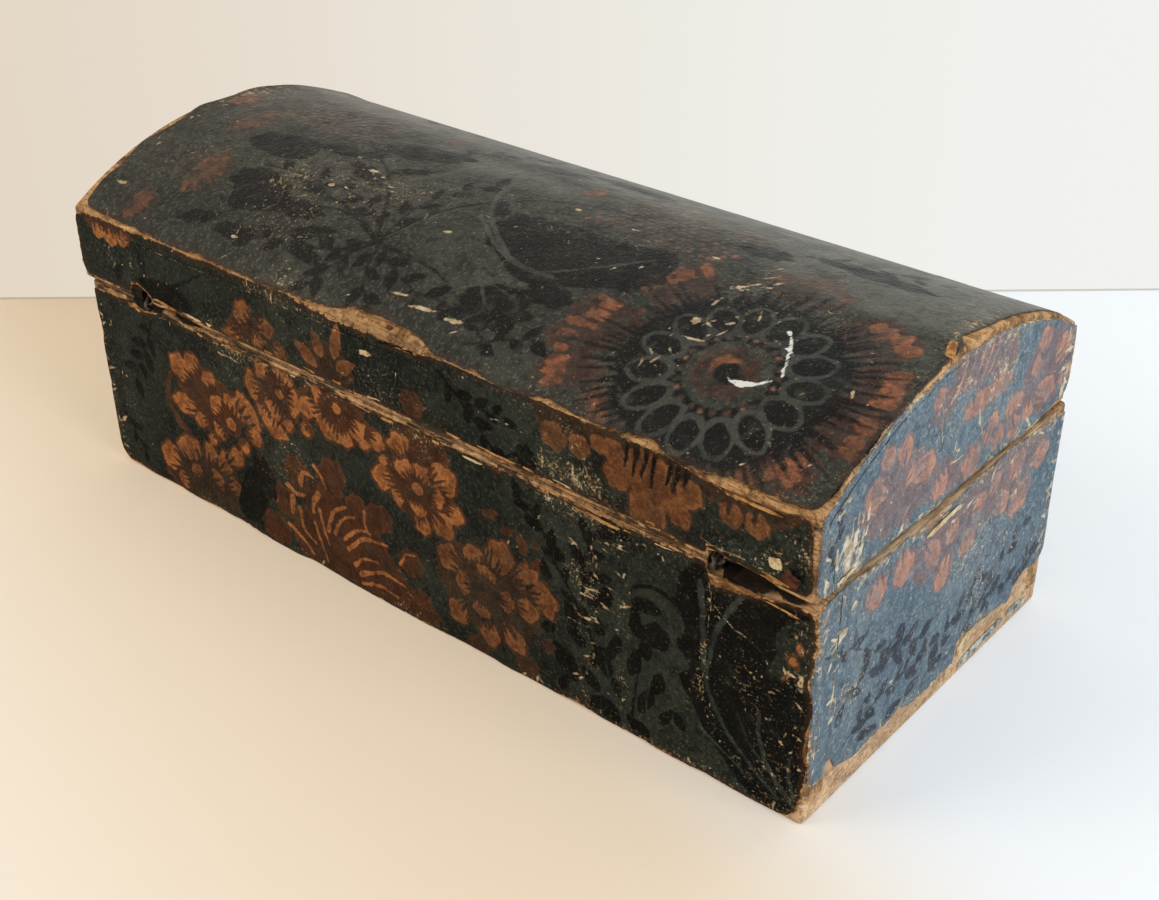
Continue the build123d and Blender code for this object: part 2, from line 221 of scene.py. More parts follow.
    # A stem with leaves to both sides
    def sprig(self, points, count, long, wide, stem=1.1, slant=38):
        look = press["sprig"]
        pts = curveThrough(points, 12)
        self.stroke("leaf", points, stem, stem * look["tip"])
        for i in range(count):
            t = look["start"] + (1 - look["start"]) * (i + 0.5) / count
            k = min(int(t * (len(pts) - 1)), len(pts) - 2)
            run = pts[k + 1] - pts[k]
            lean = (1 if i % 2 else -1) * (slant + self.random.uniform(-look["jog"], look["jog"]))
            size = self.random.uniform(*look["size"])
            self.leaf(*pts[k], long * size, wide * size, math.degrees(math.atan2(run[1], run[0])) + lean)

    # A worn place along a line: many fine specks, and some larger chips scattered about it
    def chips(self, points, count, spread, size=1.2):
        look = press["chip"]
        pts = curveThrough(points)
        self.stroke("wear", points, spread * 3)
        for i in range(count // look["share"]):
            x, y = pts[int(self.random.rand() * len(pts))] + self.random.normal(0, spread, 2)
            long = size * self.random.uniform(0.2, 1.0) ** 3 * look["long"] + look["least"]
            wide = self.random.uniform(*look["wide"]) + look["more"] * size * self.random.rand()
            self.oval("loss", x, y, long, wide, self.random.uniform(0, 180), 0.35, 5)

    # Small dots in rows, each a little out of line
    def dots(self, x0, x1, y0, y1, pitch, size):
        look = press["dot"]
        row = 0
        y = y0
        while y < y1:
            x = x0 + (row % 2) * pitch / 2
            while x < x1:
                jog = self.random.uniform(-look["jog"], look["jog"], 2) * pitch
                long = size * self.random.uniform(*look["long"])
                self.oval("petal", x + jog[0], y + jog[1], long, size * look["wide"])
                x += pitch
            y += pitch * look["row"]
            row += 1


# Makes one mark after another, from rows of what it takes
def each(mark, rows, *first, **rest):
    for row in rows:
        mark(*first, *row, **rest)


# Petals of one size round a heart, as a flower takes them
def ring(x, y, far, high, size, angles):
    return [(x + far * math.cos(a), y + high * math.sin(a), size, size) for a in angles]


# The base's long side, over x and z
def printBase(p):
    p.flower(-96, 48, (-108, 55, 40, 26, -12), [
        (-104, 54, 8, 10), (-92, 57, 8, 14), (-89, 40, 5, 7), (-104, 42, 6, 8), (-125, 64, 13, 12),
        (-117, 68, 9, 10), (-107, 64, 8, 9), (-84, 58, 9, 18), (-82, 47, 9, 8), (-125, 47, 16, 9),
        (-115, 43, 9, 7), (-109, 36, 7, 5)], 3.0)
    p.stroke("bloom", [(-131, 60), (-136, 52), (-136, 43), (-131, 36), (-126, 34)], 2.6, 4)
    p.flower(-120, 10, (-120, 11, 54, 24, 3), [
        (-127, 25, 11, 17), (-141, 16, 12, 14), (-113, 28, 10, 8), (-103, 27, 14, 9), (-96, 32, 12, 8),
        (-99, 17, 8, 8), (-124, 15, 6, 8), (-110, 16, 7, 9), (-134, 7, 7, 8)], 0, 3)
    p.flower(-63, 73.5, (-66, 72, 30, 26, 20), [
        (-79, 72, 8, 12), (-68, 56.5, 8, 14), (-68, 65, 8, 10), (-55, 72, 7, 12), (-72, 80, 8, 8),
        (-74, 62, 6, 8), (-60, 62, 7, 6), (-60, 82, 6, 10)], 2.4)
    p.flower(-30, 79, (-33, 78, 38, 16, 0), [
        (-46, 74, 14, 9), (-49, 63, 7, 6), (-36, 68, 8, 13), (-18, 73, 14, 11), (-27, 68, 8, 8),
        (-10, 73, 9, 8), (-40, 82, 6, 9)], 2.2, 5)
    p.flower(10.5, 60.5, (11, 62, 34, 34, 0), [
        (-7, 58, 12, 10), (4, 67, 9, 10), (14, 67, 8, 11), (2, 76, 9, 12), (24, 70, 12, 13),
        (28, 57, 10, 8), (22, 50, 12, 11), (12, 46, 9, 8), (0, 53, 7, 7), (10, 52, 6, 8), (20, 61, 7, 9),
        (-6, 65, 6, 7)], 2.6, 5)
    p.oval("bloom", 14, 79, 26, 16, 0, 0.1, 5)
    # the big fan
    p.region("bloom", [
        (-58, 0), (-64, 12), (-56, 24), (-52, 40), (-44, 36), (-38, 40), (-28, 37), (-20, 36), (-12, 30),
        (-6, 22), (2, 14), (4, 4), (0, 0), (-20, -1)])
    each(p.oval, [
        (-68, 24, 18, 14, 150), (-57, 40, 16, 15, 130), (-38, 45, 22, 15, 60), (-12, 38, 16, 13, 20),
        (4, 25, 14, 12, 10), (8, 9, 14, 12, -10), (-74, 8, 18, 15, 170), (-24, 38, 12, 12, 60)
    ], "bloom", ruffle=0.18, lobes=7)
    for points, wide in (
            ([(-42, 20), (-38, 30), (-30, 36)], 2.2), ([(-38, 20), (-33, 29), (-26, 33)], 1.8),
            ([(-33, 20), (-25, 27), (-17, 29)], 1.8), ([(-31, 16), (-21, 25), (-8, 27)], 2.2),
            ([(-28, 10), (-22, 15), (-14, 17)], 1.5), ([(-25, 7), (-12, 13), (0, 12)], 2.2),
            ([(-46, 35), (-49, 30), (-50, 25)], 3.0), ([(-62, 27), (-63, 20)], 3.6),
            ([(-58, 24), (-57, 15), (-50, 10)], 2.2), ([(-46, 28), (-44, 18), (-42, 13)], 1.7),
            ([(-56, 36), (-54, 42), (-48, 42)], 2.6), ([(-47, 48), (-43, 44), (-41, 40)], 1.8),
            ([(-64, 32), (-59, 30), (-54, 32)], 2.6), ([(-66, 13), (-58, 9), (-52, 4)], 2.0),
            ([(-50, 20), (-46, 10), (-44, 4)], 1.6), ([(-24, 3), (-14, 6), (-4, 5)], 1.7),
            ([(-20, 38), (-20, 32), (-17, 28)], 1.6), ([(-72, 22), (-74, 27)], 1.6),
            ([(-2, 22), (2, 28), (6, 29)], 1.5)):
        p.stroke("petal", points, wide, wide * 0.5)
    p.flower(42, 30, (43, 29, 50, 36, -8), [
        (25, 37, 12, 12), (37, 43, 9, 10), (50, 48, 15, 13), (62, 45, 13, 10), (70, 39, 12, 14),
        (62, 31, 11, 10), (29, 15, 12, 11), (44, 12, 12, 10), (56, 15, 12, 10), (32, 29, 8, 10),
        (43, 38, 6, 10), (52, 30, 8, 9), (40, 21, 7, 9)], 0, 5)
    each(p.oval, [
        (46, 65, 8, 4), (54, 61, 6, 4), (61, 58, 5, 8), (68, 53, 6, 5), (67, 61, 4, 4), (38, 4, 12, 8),
        (62, 6, 10, 8), (12, 4, 14, 8), (72, 20, 6, 6), (172, 64, 5, 6), (171, 57, 6, 4), (174, 70, 4, 5),
        (64, 3, 8, 6)], "bloom", turn=20, ruffle=0.2, lobes=5)
    each(p.oval, [(172, 64), (171.5, 57), (174, 70)], "petal", long=3, wide=3)
    # leaves and stems
    each(p.sprig, [
        ([(94, 30), (87, 42), (78, 55), (72, 66), (66, 74), (58, 78)], 9, 8, 4.2, 1.6),
        ([(88, 48), (88, 60), (91, 70), (96, 80), (104, 84)], 7, 9, 4.6, 1.5)])
    for x, y, long, wide, turn in (
            (93, 60, 8, 4.4, 15), (91, 47, 7, 4, 60), (95, 36, 8, 5, 85), (90, 28, 11, 5, 150),
            (100, 28, 10, 4, 80), (104, 33, 8, 4, 100), (109, 26, 14, 5, 75), (113, 12, 16, 5, 68),
            (105, 14, 9, 4, 120), (122, 12, 10, 4, 60), (96, 12, 12, 5, 140), (84, 20, 10, 5, 160),
            (118, 2, 12, 6, 150), (104, 2, 12, 7, 130), (132, 14, 8, 4, 120), (90, 4, 12, 5, 30),
            (76, 30, 8, 4, 200), (79, 14, 8, 4, 110), (78, 4, 9, 4, 70), (86, 34, 12, 6, 120),
            (96, 48, 12, 6, 70), (100, 20, 13, 6, 110), (84, 10, 12, 6, 100), (92, 22, 12, 5, 60),
            (116, 36, 10, 5, 100), (110, 44, 9, 5, 40), (120, 24, 10, 5, 80), (72, 48, 9, 5, 100),
            (80, 60, 9, 5, 150)):
        p.leaf(x, y, long, wide * 1.15, turn)
    p.stroke("leaf", [(108, 60), (111, 64), (118, 66.5), (128, 65)], 1.2, 2.2)
    p.oval("leaf", 115, 58, 12, 6, 5, 0.1, 5)
    p.oval("leaf", 110.5, 50, 5, 12, -8, 0.1, 5)
    p.oval("leaf", 120, 48, 10, 11, 20, 0.2, 5)
    p.stroke("leaf", [(110, 6), (111, 20), (113, 30)], 1.4, 0.8)
    p.region("leaf", [
        (134, 84), (128, 76), (127, 66), (131, 57), (128, 50), (134, 42), (129, 37), (135, 28), (140, 20),
        (150, 10), (160, 3), (178, 1), (181, 20), (181, 50), (176, 56), (168, 62), (165, 70), (170, 78),
        (180, 86), (150, 87)])
    p.oval("leaf", 169, 61, 14, 8, 60, 0.2, 5, cut=True)
    each(p.stroke, [
        ([(136.5, 78), (138, 60), (139, 45), (142, 35), (149, 24), (160, 14), (170, 7)], 2.4, 1.6),
        ([(154, 82), (147, 70), (143, 61), (141, 50), (140, 40)], 2.6, 1.6),
        ([(161, 38), (162, 26), (168, 15), (177, 6)], 1.8, 2.6),
        ([(153, 33), (157, 25), (165, 17)], 1.2, 1.0), ([(150, 66), (160, 62), (168, 56)], 0.8, 0.5),
        ([(138, 20), (150, 14), (160, 8)], 1.4, 0.9), ([(173, 26), (174, 16), (176, 10)], 1.2, 1.8),
        ([(104, 40), (104, 50), (100, 58)], 1.0, 0.7), ([(98, 26), (102, 14), (106, 5)], 1.0, 0.8),
        ([(124, 60), (126, 50), (131, 44)], 1.4, 0.7), ([(118, 30), (116, 18), (118, 8)], 1.0, 0.8)
    ], "vein")
    p.sprig([(-140, 80), (-146, 68), (-152, 58), (-160, 44)], 8, 10, 5, 1.3, 50)
    p.sprig([(-172, 30), (-166, 20), (-158, 8)], 5, 8, 4, 1.1)
    p.oval("leaf", -78, 30, 12, 20, 20, 0.2, 6)
    p.oval("leaf", -84, 18, 12, 10, 0, 0.2, 6)
    p.region("leaf", [(-92, 25), (-86, 32), (-80, 22), (-82, 10), (-90, 4), (-98, 8)])
    # cracks, rubbed spots and chips that show pale
    each(p.stroke, [
        ([(-98, 79.5), (-91, 79.6), (-86, 78.6)], 1.2, 0.3),
        ([(140, 79), (140.5, 66), (139, 55), (139.5, 46), (137, 36)], 0.5, 0.25),
        ([(142, 71), (150, 66), (158, 64)], 0.6, 0.3), ([(92, 82), (92.5, 66), (91.5, 50)], 0.3, 0.2)
    ], "loss")
    each(p.chips, [
        ([(70, 72), (84, 69)], 14, 0.9, 1.4), ([(94, 58), (107, 54)], 10, 0.7, 1.4),
        ([(96, 76), (106, 66)], 12, 1.0, 1.3), ([(92, 82), (93, 50), (90, 20)], 46, 1.6, 1.2),
        ([(104, 82), (106, 40), (104, 10)], 30, 2.4, 0.9), ([(84, 60), (90, 30), (88, 6)], 26, 3.0, 0.9),
        ([(94, 43), (103, 41)], 10, 0.8, 1.6), ([(139, 76), (139, 50), (137, 36)], 50, 0.9, 1.0),
        ([(137, 36), (146, 22), (162, 8)], 26, 2.0, 0.9),
        ([(-177, 84), (-178, 40), (-174, 4)], 90, 1.8, 2.8),
        ([(-172, 76), (-168, 50), (-160, 24)], 40, 4.0, 1.6),
        ([(-150, 2), (-60, 1.5), (20, 1.5)], 40, 1.0, 1.4),
        ([(170, 70), (173, 40), (168, 8)], 40, 3.6, 1.0), ([(148, 70), (160, 50), (168, 20)], 60, 7.0, 0.8),
        ([(172, 80), (175, 50), (174, 6)], 70, 1.8, 1.6), ([(60, 2), (120, 2), (176, 2)], 60, 1.2, 2.0),
        ([(62, 66), (60, 56), (64, 46)], 22, 3.5, 0.8), ([(-160, 84), (-60, 85), (40, 85)], 40, 1.4, 1.4),
        ([(40, 84), (100, 82), (130, 82)], 34, 1.6, 1.3)])
    for k in range(22):
        x, y = p.random.uniform(80, 104), p.random.uniform(34, 82)
        far = (x + p.random.uniform(2.5, 9), y - p.random.uniform(-0.6, 1.6))
        p.stroke("loss", [(x, y), far], p.random.uniform(0.4, 1.0), 0.2)
    p.oval("faded", 44, 29, 70, 52)
    p.oval("faded", -112, 14, 50, 30)
    each(p.oval, [
        (84, 64, 30, 40, 0), (112, 40, 34, 60, 10), (98, 18, 40, 30, 0), (-156, 50, 26, 60, 0),
        (-20, 56, 40, 14, 10), (-60, 46, 20, 20, 0), (158, 30, 10, 40, 30)], "light")


# The lid's long side, over x and z
def printLidSide(p):
    each(p.oval, [
        (-160, 115, 30, 12, 0, 0.2, 8), (-33, 96, 26, 20, 0, 0.15, 7), (10, 96, 12, 10, 0, 0.2, 6),
        (116, 112, 34, 26, 0, 0.15, 9)], "bloom")
    each(p.petal, [(-168, 112), (-160, 111), (-152, 113)], long=7, wide=8, turn=-90, teeth=2)
    p.flower(-74, 98, (-76, 94, 28, 18, 0), [
        (-80, 103, 8, 12), (-67, 100, 9, 8), (-88, 90, 10, 8), (-72, 94, 7, 7), (-60, 92, 8, 8)], 0, 3)
    for x, y, turn, long in (
            (-44, 97, 150, 14), (-38, 104, 110, 12), (-28, 106, 75, 16), (-23, 99, 30, 12)):
        c, s = direction(turn)
        p.leaf(x - 6 * c, y - 6 * s, long, 6, turn, "petal")
    p.sprig([(24, 114), (33, 107), (42, 99), (50, 90)], 6, 8, 4, 1.5, 45)
    p.sprig([(33, 107), (45, 106), (57, 107)], 5, 7, 3.6, 1.0)
    p.oval("leaf", 64, 94, 9, 13, 12, 0.1, 5)
    p.stroke("leaf", [(50, 90), (56, 92), (62, 97)], 1.2, 2.0)
    p.region("bloom", [
        (67, 118), (70, 109), (76, 104), (82, 108), (88, 105), (92, 110), (98, 110), (100, 118)])
    for x, y, size in ((76, 108, 11), (87, 108, 9), (95, 112, 7)):
        p.oval("petal", x, y, size, size, 0, 0.2, 5)
    for x, y, long, wide, turn in (
            (115, 96, 17, 15, -90), (103, 104, 12, 11, -120), (127, 100, 12, 9, -60),
            (131, 108, 10, 10, -20), (101, 112, 9, 8, 180), (115, 108, 20, 18, -90)):
        p.oval("bloom", x, y, long + 2, wide + 2, turn, 0.15, 6)
        p.oval("petal", x, y, long, wide, turn, 0.15, 6)
    for x, low in (
            (106, 108), (109.5, 106), (113, 107), (116.5, 104), (122.5, 108), (125.5, 107), (129, 110)):
        p.stroke("leaf", [(x + 1.2, 118), (x + 0.6, 113), (x - 0.6, low)], 2.5, 1.0)
    p.region("bloom", [
        (135, 118), (136, 110), (142, 108), (147, 103), (152, 107), (157, 103), (162, 108), (169, 112),
        (168, 118)])
    for x, y in ((146.5, 107), (156, 107)):
        p.oval("petal", x, y, 9, 9, 0, 0.15, 5)
        p.stroke("petal", [(x - 1, y + 5), (x - 1, y)], 2.4, 1.2, cut=True)
    p.region("leaf", [
        (-152, 90), (-148, 97), (-136, 100), (-124, 101), (-112, 97), (-114, 91), (-126, 88), (-140, 87)])
    p.stroke("leaf", [(-124, 100), (-112, 106), (-100, 113)], 1.6, 0.9)
    p.leaf(-140, 98, 12, 5, 100)
    p.leaf(-160, 92, 12, 4, 60)
    p.stroke("crack", [(-150, 112.8), (-120, 113.7), (-60, 113.3), (-8, 112.9), (20, 113)], 0.45, 0.25)
    each(p.stroke, [
        ([(-176, 112.5), (-120, 113.2), (-60, 112.8), (-8, 112.4)], 0.3, 0.2),
        ([(124, 95.5), (140, 94.6), (152, 94.5), (166, 93.2)], 0.5, 0.3),
        ([(48, 104), (58, 104.5), (66, 103)], 0.5, 0.4), ([(90, 101), (92, 95), (96, 92)], 0.8, 0.5)
    ], "loss")
    p.stroke("crack", [(-4, 115.5), (8, 116.5), (22, 115)], 0.9, 0.4)
    p.oval("loss", -12, 108.5, 7, 2.4, 5, 0.3, 5)
    each(p.oval, [(114, 104, 60, 44), (-50, 100, 70, 30), (152, 106, 40, 24), (78, 110, 40, 20)], "faded")
    p.oval("light", 60, 104, 60, 30)
    p.oval("light", -110, 108, 60, 14)
    each(p.chips, [
        ([(-176, 100), (-150, 104), (-120, 96)], 34, 3.0, 1.2),
        ([(-40, 104), (0, 100), (40, 104)], 30, 5.0, 1.0), ([(70, 98), (90, 96), (100, 92)], 26, 2.5, 1.0),
        ([(140, 100), (160, 98), (172, 104)], 26, 4.0, 1.0),
        ([(-120, 116), (-20, 115), (60, 116)], 30, 1.0, 1.6),
        ([(84, 112), (92, 100), (94, 90)], 22, 1.6, 1.4)])


# The base's far side, over x and z, from the same blocks as the near one
def printFarBase(p):
    for x, y, size in (
            (-132, 52, 1.1), (-60, 24, 1.0), (-52, 74, 0.8), (22, 54, 1.15), (78, 20, 0.9), (150, 58, 1.0)):
        petals = ring(x, y, 9 * size, 7.5 * size, 9 * size, np.arange(6) * 1.05 + x)
        petals += ring(x, y, 19 * size, 15 * size, 11 * size, np.arange(8) * 0.785 + y)
        p.flower(x, y, (x, y, 36 * size, 30 * size, 0), petals, 2.4)
    each(p.sprig, [
        ([(-170, 8), (-150, 18), (-120, 22), (-96, 12)], 9), ([(-104, 80), (-92, 60), (-90, 42)], 6),
        ([(-24, 82), (-10, 60), (-14, 36), (-30, 10)], 10), ([(50, 84), (70, 66), (92, 56)], 8),
        ([(104, 6), (114, 30), (112, 56), (124, 80)], 11), ([(20, 10), (40, 16), (56, 8)], 6),
        ([(140, 16), (158, 20), (174, 34)], 7)], long=9, wide=4.6, stem=1.3, slant=42)
    p.region("leaf", [(86, 84), (92, 60), (104, 44), (124, 30), (136, 4), (112, 2), (98, 24), (84, 50)])
    each(p.oval, [(-110, 40, 120, 70), (20, 60, 90, 50), (120, 30, 90, 60)], "faded")
    each(p.chips, [
        ([(-176, 84), (-177, 40), (-174, 4)], 70, 1.8, 2.4),
        ([(176, 84), (177, 40), (174, 4)], 70, 1.8, 2.4), ([(-170, 84), (0, 83), (170, 84)], 90, 1.6, 2.2),
        ([(-170, 3), (0, 2), (170, 3)], 80, 1.2, 2.0),
        ([(-150, 70), (-40, 40), (60, 60), (160, 30)], 150, 18.0, 0.9),
        ([(-100, 20), (-60, 44), (-52, 70)], 40, 2.0, 1.4)])
    for points in ([(90, 80), (98, 56), (112, 36), (126, 8)], [(100, 50), (110, 54), (120, 50)]):
        p.stroke("vein", points, 2.0, 1.4)


# The lid's far side, over x and z
def printFarLid(p):
    for x in (-150, -78, -8, 66, 138):
        p.flower(x, 104, (x, 104, 30, 18, 0), [
            (x - 10, 108, 9, 9), (x + 9, 109, 9, 10), (x, 98, 9, 10), (x - 13, 100, 8, 8),
            (x + 13, 100, 8, 8)], 2.2, 3)
    for x in (-116, -42, 30, 104):
        p.sprig([(x - 18, 92), (x - 4, 100), (x + 8, 112)], 6, 8, 4, 1.2, 42)
    p.oval("faded", -100, 104, 150, 40)
    p.oval("faded", 100, 104, 90, 40)
    p.chips([(-176, 90), (0, 89), (174, 90)], 110, 1.4, 2.2)
    p.chips([(-170, 110), (-40, 98), (60, 106), (160, 98)], 90, 6.0, 0.9)


# The far ends, over y and z
def printFarEnd(p):
    for x, y, size in ((-44, 66, 0.9), (16, 72, 1.0), (58, 58, 0.8)):
        petals = ring(x, y, 15 * size, 11 * size, 11 * size, np.arange(7) * 0.9 + x)
        p.flower(x, y, (x, y, 34 * size, 26 * size, 0), petals, 2.2, 3)
    for points in (
            [(-70, 16), (-48, 30), (-20, 34)], [(-20, 14), (4, 28), (30, 32)],
            [(26, 10), (48, 24), (72, 30)]):
        p.sprig(points, 9, 9, 4.5, 1.0)
    p.chips([(-76, 84), (0, 83), (76, 84)], 70, 1.6, 2.0)
    p.chips([(-70, 20), (-10, 40), (60, 60)], 90, 14.0, 1.0)


def printFarLidEnd(p):
    for x, y, size in ((-46, 106, 0.8), (4, 118, 1.1), (50, 108, 0.9)):
        petals = ring(x, y, 16 * size, 12 * size, 12 * size, np.arange(7) * 0.9 + x)
        p.flower(x, y, (x, y, 36 * size, 28 * size, 0), petals, 2.2, 3)
    for points in (
            [(-74, 92), (-56, 92), (-30, 94)], [(14, 94), (34, 94), (70, 96)],
            [(-20, 134), (0, 138), (24, 134)]):
        p.sprig(points, 7, 8, 4, 1.0)


# The base's right-hand end, over y and z
def printEnd(p):
    p.oval("bloom", 32, 76, 70, 24, 0, 0.15, 13)
    p.oval("bloom", -10, 72, 34, 24, 0, 0.15, 9)
    each(p.backed, [
        (-48, 75, 12, 12, -80), (-32, 76, 14, 12, -80), (-13, 71, 15, 9, -50), (-3, 58, 13, 12, -100),
        (13, 63, 11, 12, -50), (18, 75, 10, 9, 20), (0, 73, 9, 8, -80), (36, 67, 12, 9, -60),
        (50, 62, 13, 16, -60), (44, 78, 12, 12, 60), (62, 74, 14, 10, 0), (28, 78, 9, 8, 60)])
    each(p.sprig, [
        ([(-76, 66), (-60, 60), (-44, 50), (-34, 42), (-20, 40)], 8, 9, 4.6, 0.9),
        ([(-70, 42), (-50, 43), (-30, 42), (-12, 36), (-2, 24)], 11, 9, 4.4, 0.9),
        ([(-60, 20), (-48, 26), (-30, 27), (-10, 26)], 8, 10, 5, 0.9),
        ([(-10, 12), (2, 24), (14, 34), (30, 40)], 9, 9, 4.5, 0.9),
        ([(12, 16), (28, 26), (44, 36), (60, 48)], 9, 9, 4.4, 0.9),
        ([(24, 24), (40, 26), (58, 24), (70, 30)], 7, 9, 5, 0.9)])
    each(p.leaf, [
        (-40, 47, 9, 6, -60), (-30, 52, 9, 6, -70), (-52, 18, 16, 5, -15), (-34, 14, 12, 5, 10),
        (-20, 16, 9, 5, 20), (56, 20, 16, 6, 20), (-66, 32, 9, 4, 60)])
    each(p.stroke, [
        ([(-69.5, 84), (-69, 70), (-69.6, 58), (-69, 44)], 0.9, 0.4),
        ([(-48, 38), (-42, 30), (-37, 26)], 0.6, 0.3),
        ([(-76, 82), (-78, 60), (-76, 40), (-74, 22)], 0.6, 0.3)], "loss")
    p.stroke("crack", [(-69.5, 86), (-69, 70), (-70, 56), (-69.5, 44)], 0.8, 0.2)
    p.stroke("crack", [(-70, 20), (-66, 17), (-60, 14)], 0.5, 0.3)
    each(p.chips, [
        ([(-79, 84), (-79, 50), (-77, 20)], 70, 1.2, 2.2),
        ([(-68, 84), (-70, 60), (-68, 36)], 60, 1.1, 3.0), ([(-60, 85), (0, 85), (70, 84)], 110, 1.6, 2.6),
        ([(78, 84), (78, 60), (76, 28)], 120, 2.2, 3.0),
        ([(-60, 14), (-10, 13), (14, 18), (60, 22)], 44, 1.4, 2.0),
        ([(-50, 50), (0, 46), (60, 56)], 70, 14.0, 1.0), ([(-42, 40), (-32, 28), (-26, 22)], 20, 1.5, 1.6),
        ([(20, 60), (40, 48), (60, 40)], 26, 4.0, 1.2)])
    for k in range(20):
        x, y = p.random.uniform(-22, 14), p.random.uniform(76, 83)
        p.stroke("loss", [(x, y), (x + p.random.uniform(2, 6), y + p.random.uniform(-0.8, 1.6))], 1.2, 0.5)
    p.oval("loss", -66, 70, 5, 3, 10, 0.3, 5)
    p.oval("loss", -61, 78, 4, 3, 10, 0.3, 5)


# The lid's right-hand end, over y and z
def printLidEnd(p):
    each(p.oval, [
        (-38, 106, 44, 28, -10, 0.15, 11), (-12, 98, 40, 14, -15, 0.15, 9), (62, 108, 40, 32, 0, 0.15, 11),
        (8, 134, 38, 20, 0, 0.12, 9), (26, 126, 18, 20, 0, 0.15, 7), (-14, 126, 16, 14, 0, 0.15, 7)
    ], "bloom")
    each(p.backed, [
        (-52, 112, 12, 12, 160), (-36, 120, 12, 8, 90), (-46, 122, 10, 8, 120), (-22, 107, 13, 12, 0),
        (-30, 110, 9, 8, 30), (12, 117, 9, 22, -90), (-10, 96, 10, 10, -60), (10, 95, 14, 12, -60),
        (22, 102, 12, 9, 60), (28, 96, 10, 9, -30), (38, 104, 10, 12, 100), (40, 95, 10, 9, -60),
        (54, 112, 12, 10, 120), (62, 100, 16, 10, -20), (56, 121, 12, 9, 110), (72, 112, 12, 12, 30),
        (76, 101, 9, 9, -30), (26, 118, 9, 14, -90), (50, 97, 8, 8, -90), (-17, 130, 8, 8, 120)])
    for x in (-4, 2, 8, 13, 18):
        p.stroke("petal", [(x - 3, 127), (x + 1, 134), (x + 2, 141)], 1.7, 1.0)
    p.sprig([(-76, 92), (-74, 104), (-70, 114)], 4, 7, 4, 0.9)
    rim = [(y, domeAxis + math.sqrt((domeRadius - 4.2) ** 2 - (y - box["lidY"]) ** 2))
           for y in range(-78, 66, 6)]
    p.stroke("crack", rim[:8], 0.9, 0.5)
    p.stroke("crack", rim[7:], 0.4, 0.2)
    p.stroke("crack", [(-72.5, 88), (-72.5, 98), (-72, 114)], 0.7, 0.2)
    each(p.stroke, [
        ([(-14, 124), (-13, 116), (-11, 108), (-2, 103)], 0.8, 0.4),
        ([(12, 113), (14, 107), (18, 100)], 1.6, 0.5), ([(-4, 101), (4, 100)], 1.2, 0.5)], "loss")
    each(p.oval, [
        (-66, 93, 11, 6, 80), (-61, 91, 7, 5, 0), (-62, 101, 9, 4, 70), (-67, 102, 8, 3, 95),
        (-58, 96, 6, 2.4, 60)], "loss", ruffle=0.35, lobes=7)
    for k in range(44):
        x, y, long = p.random.uniform(-73, -55), p.random.uniform(88, 107), p.random.uniform(2, 7)
        p.stroke("loss", [
            (x, y), (x + p.random.uniform(-0.5, 1.5), min(y + long, 112))], 1.3, 0.5, cut=k % 3 == 0)
    each(p.chips, [
        ([(-77, 90), (-76, 108), (-66, 120)], 50, 1.2, 2.4),
        ([(-60, 126), (-30, 138), (0, 141), (30, 139), (60, 128)], 60, 1.2, 2.2),
        ([(-50, 89), (0, 89), (60, 90)], 110, 1.3, 2.4), ([(78, 92), (79, 104), (74, 116)], 80, 2.0, 2.6),
        ([(-60, 100), (-10, 118), (60, 112)], 60, 8.0, 1.0),
        ([(-10, 122), (-8, 110), (2, 102)], 20, 1.5, 1.6)])


